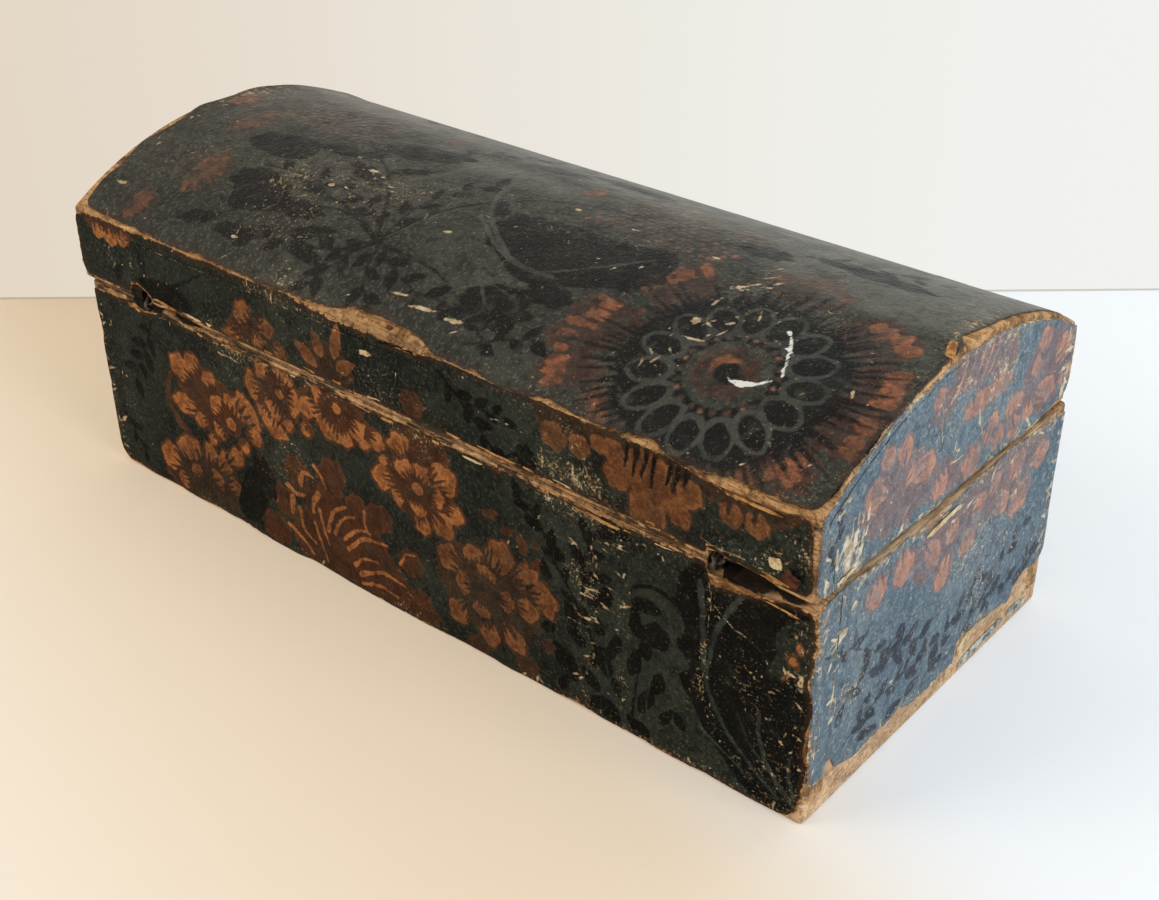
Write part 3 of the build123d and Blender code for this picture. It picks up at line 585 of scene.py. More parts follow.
# The dome, over x and the distance s from its crown
def printDome(p):
    x, y = 122.0, -52.0
    p.oval("leaf", x, y, 76, 72, 0, 0.1, 13)
    for cx, cy, size in (
            (66, -48, 17), (62, -60, 13), (80, -14, 15), (74, -24, 12), (120, 5, 14), (131, 1, 11),
            (109, 1, 10), (152, -10, 14), (163, -15, 12), (172, -46, 14), (173, -60, 13), (170, -32, 12),
            (68, -74, 13), (160, -76, 15), (150, -82, 12), (90, -82, 14)):
        turn = math.atan2(cy - y, cx - x)
        c, s = math.cos(turn), math.sin(turn)
        p.oval("bloom", cx - c * 4, cy - s * 4, size * 1.7, size * 1.15, math.degrees(turn), 0.3, 9)
        for k in range(9):
            side, out = p.random.uniform(-0.5, 0.5) * size, p.random.uniform(0.2, 0.55) * size
            start = (cx - c * size * 0.25 - s * side, cy - s * size * 0.25 + c * side)
            p.stroke("petal", [start, (start[0] + c * out, start[1] + s * out)], 1.4, 3.0)
    for around in np.arange(0, 360, 3.6):
        turn, bend = math.radians(around), math.radians(around + p.random.uniform(-3, 3))
        near, far = 29, p.random.uniform(40, 57)
        p.stroke("leaf", [
            (x + near * math.cos(turn), y + near * 0.95 * math.sin(turn)),
            (x + far * math.cos(bend), y + far * 0.95 * math.sin(bend))], 3.0, 0.6)
        if around % 2:
            far -= p.random.uniform(0, 8)
            p.stroke("bloom", [
                (x + 40 * math.cos(bend), y + 38 * math.sin(bend)),
                (x + far * math.cos(turn + 0.04), y + far * 0.95 * math.sin(turn + 0.04))], 1.0, 1.6)
    for k in range(15):
        turn = k * 24 + 8
        c, s = direction(turn)
        out, long, wide = (p.random.uniform(*pair) for pair in ((24.8, 26.4), (16.0, 19.0), (11.4, 12.8)))
        p.oval("vein", x + out * c, y + out * s, long, wide, turn, 0.04, 3)
        p.oval("vein", x + (out + 0.5) * c, y + (out + 0.5) * s, long - 4.6, wide - 4.0, turn, 0.05, 4,
               cut=True)
    p.oval("vein", x, y, 34, 34, cut=True)
    p.oval("bloom", x - 1, y, 23, 22, 0, 0.15, 7)
    p.oval("petal", x - 3, y + 3, 10, 8, 30, 0.2, 5)
    p.oval("leaf", x, y, 30, 29, cut=True)
    for k in range(24):
        a = 2 * math.pi * (k + 0.3 * p.random.rand()) / 24
        at = (x + 16.6 * math.cos(a), y + 16.4 * math.sin(a))
        p.oval("leaf", *at, 2.4, 2.4, cut=True)
        p.oval("bloom" if k % 3 else "petal", *at, 2.0, 1.8, 0, 0.2, 3)
    p.oval("leaf", x, y, 9, 9)
    p.oval("petal", x, y, 10, 10, cut=True)
    # the flowers to the left
    for cx, cy, long, wide in (
            (-139, -48, 26, 26), (-151, -10, 18, 22), (-152, -74, 18, 16), (-70, 30, 16, 12),
            (10, 22, 14, 10), (-172, 4, 16, 14)):
        p.oval("bloom", cx, cy, long, wide, 0, 0.2, 9)
        for k in range(7):
            a = -70 + k * 24
            p.leaf(cx - 4, cy, wide * 0.62, 4.5, a, "petal")
    each(p.oval, [
        (-150, -40, 60, 90), (-120, 20, 70, 60), (52, 18, 70, 50), (-70, 30, 24, 20), (120, 2, 50, 20),
        (80, -84, 40, 14)], "faded")
    p.dots(-148, -94, 0, 44, 4.6, 2.8)
    p.dots(24, 84, -2, 38, 4.6, 2.8)
    p.dots(-160, 160, 52, 84, 9.0, 2.2)
    # lighter ground near and beyond the crown: a painted sheen, the bright room reflected there
    each(p.oval, [
        (-30, 14, 90, 14, 0), (60, 52, 280, 50, 0), (140, 22, 110, 50, 0), (-90, 50, 160, 40, 0)], "light")
    # sprigs and dark leaves
    each(p.sprig, [
        ([(-35, -50), (-36, -30), (-30, -12), (-20, 4)], 8),
        ([(-35, -50), (-56, -36), (-84, -32), (-116, -34)], 10),
        ([(-35, -50), (-50, -62), (-74, -66), (-100, -72)], 9),
        ([(-35, -50), (-20, -60), (0, -66), (24, -64)], 8), ([(-35, -50), (-44, -68), (-48, -82)], 5),
        ([(-35, -50), (-26, -70), (-14, -80)], 5), ([(30, -78), (44, -70), (56, -66)], 5),
        ([(-60, 10), (-50, 30), (-30, 52)], 8), ([(100, 24), (120, 34), (150, 40)], 8),
        ([(-120, 60), (-90, 56), (-60, 66)], 8)], long=9.5, wide=4.8, stem=1.2, slant=42)
    for points in (
            [(-35, -52), (-56, -44), (-90, -50), (-112, -66)], [(-35, -52), (-70, -40), (-118, -44)],
            [(-35, -52), (-60, -20), (-96, 4)], [(-35, -52), (-24, -24), (4, 2), (40, 14)],
            [(-35, -52), (-48, -70), (-52, -84)], [(-35, -52), (0, -56), (40, -76)]):
        p.stroke("leaf", points, 1.7, 1.0)
    p.region("leaf", [
        (5, -14), (22, -10), (48, -10), (66, -6), (74, -16), (70, -30), (52, -40), (30, -46), (12, -38),
        (2, -26)])
    p.region("leaf", [(-118, -42), (-104, -38), (-92, -44), (-84, -52), (-96, -58), (-112, -60)])
    p.region("leaf", [(-136, -14), (-116, -10), (-104, -16), (-106, -26), (-124, -28), (-138, -24)])
    each(p.oval, [
        (-92, -10, 30, 8, 8), (-72, -20, 26, 8, -20), (-112, -44, 22, 16, 0), (-78, -50, 22, 9, 4),
        (-64, -58, 20, 7, 24), (-86, -36, 18, 6, -16), (-120, -70, 20, 7, 14), (-58, -10, 18, 6, 30),
        (-60, -68, 22, 6, -10), (-96, -70, 24, 7, 6), (10, -24, 22, 26, 30), (60, -22, 30, 26, -10),
        (30, -62, 30, 18, 10), (44, -48, 20, 10, 0), (-8, -14, 16, 7, -40), (90, 16, 20, 12, 0),
        (-20, 34, 30, 10, 10), (130, 26, 40, 10, 0), (10, 44, 40, 10, 0)], "leaf", ruffle=0.3, lobes=7)
    p.oval("leaf", 28, -58, 26, 16, 10, 0.2, 7)
    p.oval("leaf", -66, 8, 40, 16, 20, 0.2, 7)
    each(p.stroke, [
        ([(-42, 22), (-44, 2), (-54, -16), (-72, -28), (-92, -34)], 2.2, 1.4),
        ([(-20, 10), (-14, -10), (0, -26), (20, -38), (40, -40)], 2.4, 1.6),
        ([(-10, -22), (8, -34), (30, -40), (52, -26), (64, -14)], 1.8, 1.2),
        ([(-118, -36), (-96, -34), (-74, -36)], 1.4, 1.0), ([(14, -50), (26, -62), (22, -70)], 1.4, 1.0),
        ([(-34, -48), (-26, -30), (-30, -10)], 1.2, 0.8), ([(10, -60), (20, -52), (34, -54)], 1.2, 0.8)
    ], "vein")
    # losses
    p.stroke("chalk", [(128, -27), (131.6, -31), (135, -38), (138, -46)], 1.5, 1.1)
    p.stroke("chalk", [(132, -34), (136, -36)], 1.4, 0.6)
    p.region("chalk", [(122, -54), (128, -53), (137, -49), (133, -53), (128, -55.6)])
    p.stroke("crack", [(176.8, -80), (177.2, -60), (176.8, -30), (177.2, -6)], 0.6, 0.3)
    each(p.chips, [
        ([(94, -24), (102, -12), (110, 4)], 60, 3.2, 2.6),
        ([(98, -46), (110, -30), (124, -22)], 50, 4.0, 1.8),
        ([(92, -60), (94, -50), (98, -42)], 24, 2.4, 1.6),
        ([(-74, -30), (-56, -22), (-40, -14)], 16, 5.0, 1.2),
        ([(-30, -40), (-10, -26), (10, -14)], 18, 5.0, 1.3),
        ([(10, -30), (30, -22), (60, -24)], 22, 5.0, 1.2), ([(0, -72), (40, -66), (80, -60)], 24, 4.0, 1.2),
        ([(150, -40), (164, -20), (170, 10)], 30, 5.0, 1.2),
        ([(-160, -60), (-120, -40), (-60, -10), (0, 10)], 150, 14.0, 0.6),
        ([(-110, -70), (-40, -30), (60, -20)], 150, 14.0, 0.6),
        ([(-160, 10), (-90, 20), (0, 30), (90, 20)], 90, 14.0, 0.6),
        ([(90, -60), (140, -40), (160, -60)], 90, 16.0, 0.5),
        ([(-178, -60), (-176, -20), (-174, 30)], 50, 2.4, 2.0),
        ([(-160, -82), (-60, -80), (60, -80), (160, -80)], 60, 2.2, 1.2)])
    for x0, y0, long, wide in (
            (-79, -33, 3, 3), (-72, -17, 6, 2), (-56, -23, 4, 1.6), (16, 2, 3, 3), (5, -71, 16, 2),
            (20, -71, 8, 2.5), (-8, -69, 10, 1.5), (-95, -72, 3, 2), (102, -44, 9, 1.5), (98, -36, 3, 5),
            (-170, -68, 6, 2), (80, 0, 3, 2), (44, 1, 5, 1.4), (-14, -36, 3, 2)):
        p.oval("loss", x0, y0, long, wide * 0.8, 8, 0.45, 7)


# What all pasted sheets share, in mm. A ragged or fine line is (hill size, seed, middle, height).
sheet = {
    "thick": 0.4, "sunk": 0.05,  # the paper's height, and how deep its edge goes into the wood
    "least": 0.15, "corner": 3.0,  # the narrowest bare strip, and how round the corners are
    "ragged": (14.0, 0, 0.45, 2.2), "fine": (2.2, 20, 0.5, 0.9), "jag": (3.0, 31, 2.4),
    "reach": 1.4, "steep": 0.3,  # how far a point of the mesh may be drawn to the outline, in cells
    "lift": (26.0, 50, 0.52, 4), "fade": 3.0,  # where edges lift, and how soon that ends inwards
    "joint": (3.0, 5.0), "ripple": (9.0, 60, 0.12),  # flat beside the hinge line; ripples all over
}


# How far inside its torn outline each point of a sheet lies, in mm. Each side has a list of
# (place along it, bare strip) pairs, and bites are (x, y, radius) holes torn out of it.
def tornEdge(u, v, setting):
    u0, u1, v0, v1 = setting["span"]
    seed, rough = setting["seed"], setting["rough"]
    sides = []
    for k, (side, along, away) in enumerate((("left", v, u - u0), ("right", v, u1 - u),
                                             ("low", u, v - v0), ("high", u, v1 - v))):
        at, strip = zip(*setting["bare"][side])
        torn = [(hills(along, along * 0, size, seed + k + shift, 3) - middle) * rough * height
                for size, shift, middle, height in (sheet["ragged"], sheet["fine"])]
        least = setting.get("clear", {}).get(side, sheet["least"])
        sides.append(away - np.maximum(np.interp(along, at, strip) + torn[0] + torn[1], least))
    a, b = np.minimum(sides[0], sides[1]), np.minimum(sides[2], sides[3])
    corner = sheet["corner"]
    inside = np.where((a < corner) & (b < corner),
                      corner - np.hypot(corner - np.minimum(a, corner), corner - np.minimum(b, corner)),
                      np.minimum(a, b))
    size, shift, height = sheet["jag"]
    jag = (hills(u, v, size, seed + shift, 3) - 0.5) * height
    for x, y, r in setting.get("bites", ()):
        inside = np.minimum(inside, np.hypot(u - x, v - y) - r + jag)
    return np.minimum(inside, setting["shape"](u, v)) if "shape" in setting else inside


# How high the paper stands: its thickness, lifted edges, curls and ripples
def paperHeight(u, v, depth, setting):
    seed = setting["seed"]
    size, shift, middle, gain = sheet["lift"]
    lift = (hills(u, v, size, seed + shift, 2) - middle) * setting["lift"] * gain
    lift = np.clip(lift, 0, setting["lift"]) * np.exp(-depth / sheet["fade"])
    if "hinge" in setting:
        flat, ramp = sheet["joint"]
        lift = lift * np.clip((np.abs(v - setting["hinge"]) - flat) / ramp, 0, 1)
    height = sheet["thick"] + lift
    for x, y, long, wide, rise in setting.get("curls", ()):
        height = height + rise * np.exp(-(((u - x) / long) ** 2) - ((v - y) / wide) ** 2)
    size, shift, rise = sheet["ripple"]
    return height + rise * (hills(u, v, size, seed + shift, 2) - 0.5)


# The numbers of a grid's points, and the four round each of its cells
def gridOf(shape):
    index = np.arange(math.prod(shape)).reshape(shape)
    return index, np.stack([index[:-1, :-1], index[1:, :-1], index[1:, 1:], index[:-1, 1:]], -1)


def makePiece(name, vertices, faces, material, smooth=True):
    mesh = bpy.data.meshes.new(name)
    mesh.from_pydata(vertices, [], faces)
    if smooth:
        mesh.polygons.foreach_set("use_smooth", np.ones(len(faces), bool))
    mesh.materials.append(material)
    piece = bpy.data.objects.new(name, mesh)
    bpy.context.scene.collection.objects.link(piece)
    return piece


# A pasted sheet: a fine mesh cut to its torn outline, with a thin edge down to the wood.
# place(u, v, height) gives points in mm, and drawing fills in the print.
def pasteSheet(name, body, replaced, setting, drawing, place, material):
    (u0, u1, v0, v1), cell = setting["span"], setting["cell"]
    us, vs = (np.linspace(a, b, int((b - a) / cell) + 1) for a, b in ((u0, u1), (v0, v1)))
    u, v = np.meshgrid(us, vs, indexing="ij")
    depth = tornEdge(u, v, setting)
    kept = (depth[:-1, :-1] > 0) | (depth[1:, :-1] > 0) | (depth[:-1, 1:] > 0) | (depth[1:, 1:] > 0)
    # points just outside are drawn in to the outline
    gradU, gradV = np.gradient(depth, us[1] - us[0], vs[1] - vs[0])
    steep = np.maximum(gradU**2 + gradV**2, sheet["steep"])
    pull = np.where(depth < 0, np.clip(-depth, 0, sheet["reach"] * cell) / steep, 0)
    u, v = u + pull * gradU, v + pull * gradV
    depth = np.maximum(tornEdge(u, v, setting), 0)

    p = Print(u, v, setting["seed"])
    drawing(p)
    points = place(u, v, paperHeight(u, v, depth, setting))
    feet = place(u, v, np.full(u.shape, -sheet["sunk"]))

    quads = gridOf(u.shape)[1]
    padded = np.pad(kept, 1)
    rims = []
    for k, (di, dj) in enumerate(((0, -1), (1, 0), (0, 1), (-1, 0))):
        rim = kept & ~padded[1 + di : 1 + di + kept.shape[0], 1 + dj : 1 + dj + kept.shape[1]]
        a, b = quads[..., k][rim], quads[..., (k + 1) % 4][rim]
        rims.append(np.stack([b, a, a + u.size, b + u.size], -1))
    faces = np.concatenate([quads[kept]] + rims)
    used, faces = np.unique(faces, return_inverse=True)
    faces = faces.reshape(-1, 4)
    if setting.get("flip"):
        faces = faces[:, ::-1]
    vertices = np.concatenate([points.reshape(-1, 3), feet.reshape(-1, 3)])[used] * millimetre
    piece = makePiece(name, vertices.tolist(), faces.tolist(), material)
    for key, value in dict(p.layers, fringe=depth).items():
        value = value.ravel()
        both = np.concatenate([value, value if key != "fringe" else value * 0])
        attribute = piece.data.attributes.new(key, "FLOAT", "POINT")
        attribute.data.foreach_set("value", both[used].astype(np.float32))
    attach(piece, body)
    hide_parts(replaced)
    print("pasted", name, len(faces), "faces")


# Shader maths: a wrapped socket, and one method that makes nodes
class Value:
    def __init__(self, maker, socket):
        self.maker, self.socket = maker, socket

    def __add__(self, other):
        return self.maker.maths("ADD", self, other)

    def __radd__(self, other):
        return self.maker.maths("ADD", other, self)

    def __sub__(self, other):
        return self.maker.maths("SUBTRACT", self, other)

    def __rsub__(self, other):
        return self.maker.maths("SUBTRACT", other, self)

    def __mul__(self, other):
        return self.maker.maths("MULTIPLY", self, other)

    def __rmul__(self, other):
        return self.maker.maths("MULTIPLY", other, self)


# A colour as seen on screen, 0 to 255, for a shader's socket; a value stays as it is
def tint(colour):
    if isinstance(colour, Value):
        return colour
    return tuple(((c / 255 + 0.055) / 1.055) ** 2.4 if c > 10 else c / 3295 for c in colour) + (1.0,)


class Finish:
    def __init__(self, name):
        self.material = bpy.data.materials.new(name)
        self.material.use_nodes = True
        self.tree = self.material.node_tree
        self.shader = self.tree.nodes["Principled BSDF"]
        self.place = self.node("ShaderNodeTexCoord", {}, {}, "Object")

    def feed(self, socket, value):
        if isinstance(value, Value):
            self.tree.links.new(value.socket, socket)
        else:
            socket.default_value = value

    def node(self, kind, settings, inputs, output=0):
        made = self.tree.nodes.new(kind)
        for key, value in settings.items():
            setattr(made, key, value)
        for key, value in inputs.items():
            self.feed(made.inputs[key], value)
        return Value(self, made.outputs[output])

    def maths(self, operation, *inputs):
        return self.node("ShaderNodeMath", {"operation": operation}, dict(enumerate(inputs)))

    def attribute(self, name):
        return self.node("ShaderNodeAttribute", {"attribute_name": name}, {}, "Fac")

    # one coordinate of a vector: 0, 1 or 2
    def part(self, vector, k):
        return self.node("ShaderNodeSeparateXYZ", {}, {0: vector}, k)

    # noise whose grains are about `size` mm across
    def noise(self, size, detail=3, stretch=None, rough=0.55):
        where = self.place
        if stretch:
            where = self.node("ShaderNodeVectorMath", {"operation": "MULTIPLY"}, {0: where, 1: stretch})
        return self.node("ShaderNodeTexNoise", {}, {
            "Vector": where, "Scale": 500.0 / size, "Detail": detail, "Roughness": rough})

    def step(self, value, low, high):
        return self.node("ShaderNodeMapRange", {"interpolation_type": "SMOOTHSTEP"}, {
            "Value": value, "From Min": low, "From Max": high})

    def mix(self, factor, a, b):
        return self.node("ShaderNodeMix", {"data_type": "RGBA"}, {0: factor, 6: tint(a), 7: tint(b)}, 2)

    def bump(self, height, distance):
        return self.node("ShaderNodeBump", {}, {"Height": height, "Distance": distance, "Strength": 1.0})

    def put(self, **sockets):
        for key, value in sockets.items():
            self.feed(self.shader.inputs[key.replace("_", " ")], value)
        return self.material


def paperFinish(name, look):
    m = Finish(name)
    grain, crumb, broad = m.noise(0.8, 3), m.noise(2.2, 5, rough=0.7), m.noise(22, 4)
    ragged = (m.noise(1.5, 5, rough=0.65) - 0.5) * 1.8
    fine = (m.noise(0.9, 3, rough=0.6) - 0.5) * 1.6
    # the ground colour, mottled
    ground = m.mix(m.step(broad, 0.35, 0.65), look["ground"], look["groundLight"])
    ground = m.mix(m.step(crumb, 0.5, 0.62) * look["mottle"], ground, look["fleck"])
    # lighter patches from the light layer; on the dome these are a painted sheen near the crown
    ground = m.mix(m.step(m.attribute("light"), -5.0, 5.0) * look["lightShow"], ground, look["light"])
    ground = m.mix(m.step(m.noise(4.5, 6, rough=0.8), 0.5, 0.6) * 0.5, ground, look["fleck"])
    colour = m.mix(m.step(grain, 0.54, 0.62) * look["mottle"], ground, look["flash"])
    # the printed colours, one over the other, each worn thin in patches
    worn = m.step(m.noise(6, 6, rough=0.72), 0.36, 0.6)
    faded = m.step(m.attribute("faded"), -4.0, 4.0) * look["fade"]
    for layer in ("bloom", "petal"):
        depth = m.attribute(layer)
        mask = m.step(depth + ragged * look["ragged"], -look["soft"], look["soft"])
        shade = m.mix(m.step(depth + ragged, 0.2, 2.6), look[layer + "Rim"], look[layer])
        shade = m.mix(m.step(crumb, 0.42, 0.6) * 0.7, shade, look[layer + "Dark"])
        shade = m.mix(m.step(grain, 0.54, 0.68) * 0.45, shade, look[layer + "Rim"])
        show = look[layer + "Show"]
        colour = m.mix(mask * (show + worn * (1 - show)) * (1 - faded), colour, shade)
    leaf = m.step(m.attribute("leaf") + ragged * look["ragged"], -look["soft"], look["soft"])
    show = look["leafShow"]
    colour = m.mix(leaf * (show + worn * (1 - show)), colour, look["leaf"])
    vein = m.step(m.attribute("vein") + ragged * 0.6, -0.3, 0.5)
    colour = m.mix(vein * look["veinShow"] * (0.45 + worn * 0.55), colour, look["vein"])
    # dust, rubbed specks, and chips drawn in their places
    fringe = m.attribute("fringe")
    near = m.step(fringe, 9.0, 0.5)
    patch = m.noise(24, 4, rough=0.6) * 0.55 + near * look["edgeWear"] - look["clean"]
    patch = patch + m.step(m.attribute("wear"), -3.0, 2.5) * look["wear"]
    colour = m.mix(m.step(m.noise(0.45, 2), 0.46, 0.6) * look["grit"], colour, look["gritDark"])
    colour = m.mix(m.step(m.noise(0.55, 2), 0.58, 0.7) * look["grit"], colour, look["gritPale"])
    colour = m.mix(m.step(m.noise(2.8, 4), 0.56, 0.72) * look["dust"], colour, look["dustTint"])
    speck = m.step(m.noise(0.85, 3, rough=0.6) + patch, 1.0, 1.03)
    fleck = m.step(m.noise(2.4, 6, rough=0.85) + patch, 0.975, 0.992)
    pin = m.step(m.noise(0.5, 1) + patch, 0.975, 1.02)
    chips = m.step(m.attribute("loss") + ragged * 0.6, -0.1, 0.2)
    bare = m.maths("MAXIMUM", fleck * look["chipShow"], chips)
    pale = m.mix(m.step(crumb, 0.35, 0.62), look["chip"], look["chipDark"])
    colour = m.mix(pin * look["pin"], colour, pale)
    colour = m.mix(speck * look["speck"], colour, pale)
    colour = m.mix(bare * 0.92, colour, pale)
    colour = m.mix(m.step(m.attribute("chalk") + ragged * 1.2, -0.1, 0.4), colour, look["chalk"])
    # the edge: soiled, then rubbed through to the board in a band of wandering width
    band = m.step(m.noise(11, 5, rough=0.7), 0.42, 0.68) * look["rub"] + ragged * 1.1 + fine
    soiled = m.step(band + look["soilWidth"] - fringe, -1.2, 1.4)
    colour = m.mix(soiled * look["soilShow"] * (0.5 + worn * 0.5), colour, look["soil"])
    rubbed = m.step(band - fringe, -0.1, 0.35)
    board = m.mix(m.step(m.noise(1.3, 4, rough=0.65), 0.42, 0.58), look["torn"], look["tornDark"])
    board = m.mix(m.step(m.noise(26, 3), 0.45, 0.62) * look["aged"], board, look["soil"])
    colour = m.mix(rubbed, colour, board)
    crack = m.step(m.attribute("crack") + fine * 0.5, -0.12, 0.16)
    colour = m.mix(crack * 0.95, colour, look["crack"])
    # dull where the paper is gone, and lower there
    lost = m.maths("MAXIMUM", bare, rubbed)
    rough = m.step(m.noise(5, 4), 0.3, 0.7) * 0.16 + look["rough"]
    rough = rough + lost * (0.95 - look["rough"])
    height = grain * 0.4 + crumb * 0.7 + m.noise(7, 4) * 0.8 - lost * 0.6 - crack * 1.2
    height = height + m.step(m.attribute("petal"), -0.4, 0.4) * 0.12
    m.put(Specular_IOR_Level=look["gloss"], Sheen_Weight=look["sheen"], Sheen_Roughness=0.25)
    return m.put(Base_Color=colour, Roughness=rough, Normal=m.bump(height, look["bump"]))


sidePaper = {
    "ground": (22, 27, 24), "groundLight": (42, 47, 40), "fleck": (9, 11, 10), "flash": (56, 61, 52),
    "mottle": 0.75, "light": (56, 63, 56), "lightShow": 0.28, "fade": 0.5, "ragged": 0.55, "soft": 0.35,
    "bloom": (80, 47, 28), "bloomRim": (94, 58, 35), "bloomDark": (46, 28, 18), "bloomShow": 0.7,
    "petal": (152, 94, 50), "petalRim": (176, 114, 66), "petalDark": (100, 56, 32), "petalShow": 0.6,
    "leaf": (4, 5, 5), "leafShow": 0.88, "vein": (54, 62, 57), "veinShow": 0.9,
    "chip": (214, 192, 152), "chipDark": (140, 112, 78), "chipShow": 0.9, "chalk": (216, 215, 206),
    "dust": 0.25, "dustTint": (60, 64, 56), "speck": 0.75, "pin": 0.2, "clean": 0.035,
    "wear": 0.075, "edgeWear": 0.05, "grit": 0.3, "gritDark": (4, 5, 4), "gritPale": (84, 84, 70),
    "rub": 1.0, "soil": (58, 40, 26), "soilWidth": 1.2, "soilShow": 0.8, "aged": 0.7,
    "torn": (194, 150, 102), "tornDark": (112, 74, 44), "crack": (10, 8, 6),
    "rough": 0.55, "gloss": 0.06, "bump": 0.0006, "sheen": 0.0,
}
# The ends' paper: the same wallpaper as the sides, its ground and print painted lighter and bluer, partly the
# real fading of the ground and partly the cool window light on the right end painted in; the far left end
# takes the same colours
endPaper = dict(sidePaper, **{
    "ground": (74, 96, 110), "groundLight": (98, 116, 124), "fleck": (52, 66, 80),
    "flash": (120, 136, 144), "mottle": 0.7, "light": (120, 134, 140), "lightShow": 0.3, "ragged": 0.6,
    "bloom": (122, 98, 96), "bloomRim": (130, 104, 98), "bloomDark": (96, 78, 78), "bloomShow": 0.45,
    "petal": (180, 124, 98), "petalRim": (194, 138, 108), "petalDark": (132, 98, 92), "petalShow": 0.3,
    "leaf": (28, 36, 48), "leafShow": 0.85, "vein": (96, 112, 120),
    "chip": (222, 210, 186), "chipDark": (160, 140, 112), "dust": 0.55, "dustTint": (134, 144, 144),
    "clean": -0.02, "wear": 0.05, "grit": 0.25, "gritDark": (44, 54, 64), "gritPale": (206, 204, 190),
    "rub": 0.9, "soil": (120, 106, 92), "soilWidth": 0.6, "soilShow": 0.5, "aged": 0.3,
    "torn": (222, 202, 168), "tornDark": (152, 118, 84), "crack": (34, 26, 22),
    "rough": 0.5, "gloss": 0.25,
})
# The dome's paper; its light colour is the painted sheen near the crown
domePaper = dict(sidePaper, **{
    "ground": (43, 45, 39), "groundLight": (63, 64, 55), "fleck": (23, 24, 21), "flash": (82, 81, 71),
    "mottle": 0.7, "light": (116, 116, 107), "lightShow": 0.5, "fade": 0.6, "ragged": 0.9, "soft": 0.6,
    "bloom": (66, 43, 34), "bloomRim": (82, 53, 41), "bloomDark": (36, 26, 21), "bloomShow": 0.45,
    "petal": (126, 76, 51), "petalRim": (148, 92, 62), "petalDark": (66, 42, 32), "petalShow": 0.36,
    "leaf": (8, 9, 9), "leafShow": 0.86, "vein": (88, 90, 82), "veinShow": 0.55,
    "chip": (212, 192, 154), "chipDark": (150, 124, 88), "dustTint": (88, 86, 76), "speck": 0.6,
    "pin": 0.15, "clean": 0.0, "wear": 0.03, "grit": 0.22, "gritDark": (12, 13, 12),
    "gritPale": (98, 94, 82), "rub": 0.6, "torn": (168, 126, 84), "tornDark": (100, 68, 44),
    "rough": 0.42, "gloss": 0.16, "bump": 0.0007, "sheen": 0.2,
})


# Wood with its grain along one axis, 0 or 1, rubbed and soiled
def woodFinish(name, along, look):
    m = Finish(name)
    stretch, splinter = (tuple(thin if k == along else 1.0 for k in range(3)) for thin in (0.07, 0.35))
    grain = m.noise(2.4, 5, stretch, 0.6)
    fibre = m.noise(0.7, 4, stretch, 0.7)
    dirt = m.noise(5, 6, rough=0.75)
    colour = m.mix(m.step(grain, 0.42, 0.62) * 0.7, look["pale"], look["mid"])
    colour = m.mix(m.step(m.noise(30, 3), 0.42, 0.6) * look["aged"], colour, look["dark"])
    colour = m.mix(m.step(fibre, 0.5, 0.64) * 0.55, colour, look["dark"])
    colour = m.mix(m.step(dirt, 0.44, 0.66) * look["dirt"], colour, look["soil"])
    colour = m.mix(m.step(m.noise(0.9, 3), 0.56, 0.64) * 0.6, colour, look["soil"])
    colour = m.mix(m.step(m.noise(0.45, 4, stretch, 0.6), 0.58, 0.62) * 0.7, colour, look["dark"])
    colour = m.mix(m.step(m.noise(3.2, 5, rough=0.8), 0.56, 0.6) * 0.55, colour, look["pale"])
    # remains of paper, then painted shade along the joint between lid and base
    height = m.part(m.place, 2)
    off = m.maths("ABSOLUTE", height - look["joint"])
    left = m.part(m.place, 0) * -0.12
    remains = m.step(m.noise(7, 6, splinter, 0.75) + left, 0.49, 0.53)
    facing = m.node("ShaderNodeTexCoord", {}, {}, "Normal")
    level = m.maths("ABSOLUTE", m.part(facing, 2))
    upright = m.step(level, 0.9, 0.6)
    remains = remains * m.step(off, *look["remainsEdge"]) * upright * look["remains"]
    scraps = m.mix(m.step(dirt, 0.4, 0.6), look["remainsDark"], look["remainsPale"])
    colour = m.mix(remains, colour, scraps)
    # painted shade: near-black along the joint line, mostly on upright faces, where the gap between lid and
    # base lies dark
    jointShade = m.step(off + (m.noise(4, 5, rough=0.7) - 0.5) * 0.003, *look["jointShadeEdge"])
    colour = m.mix(jointShade * (upright * 0.8 + 0.2) * look["jointShadeShow"], colour, look["jointShade"])
    # bare ends go grey higher up
    high = m.step(height + (m.noise(8, 4) - 0.5) * 0.02, 0.03, 0.06) * look["grey"]
    colour = m.mix(high, colour, m.mix(m.step(fibre, 0.42, 0.62), look["greyPale"], look["greyDark"]))
    # painted shade at the hinges: black lens shapes on the outer face of the hinge side only, where the
    # openings round the hinges lie dark
    rag = (m.noise(2.5, 5, rough=0.7) - 0.5) * 1.2
    outside = m.step(m.part(m.place, 1), *look["outerFace"])
    for x, z, long, tall in look["holes"]:
        across = (m.part(m.place, 0) - x) * (1 / long)
        upward = (height - z) * (1 / tall)
        hole = m.step(across * across + upward * upward + rag, 1.1, 0.75)
        colour = m.mix(hole * outside * 0.96, colour, look["jointShade"])
    bumps = grain + fibre * 0.8 + m.noise(1.2, 4) * 0.6
    m.put(Specular_IOR_Level=0.15)
    return m.put(Base_Color=colour, Roughness=0.68 + m.noise(4) * 0.25, Normal=m.bump(bumps, 0.0005))
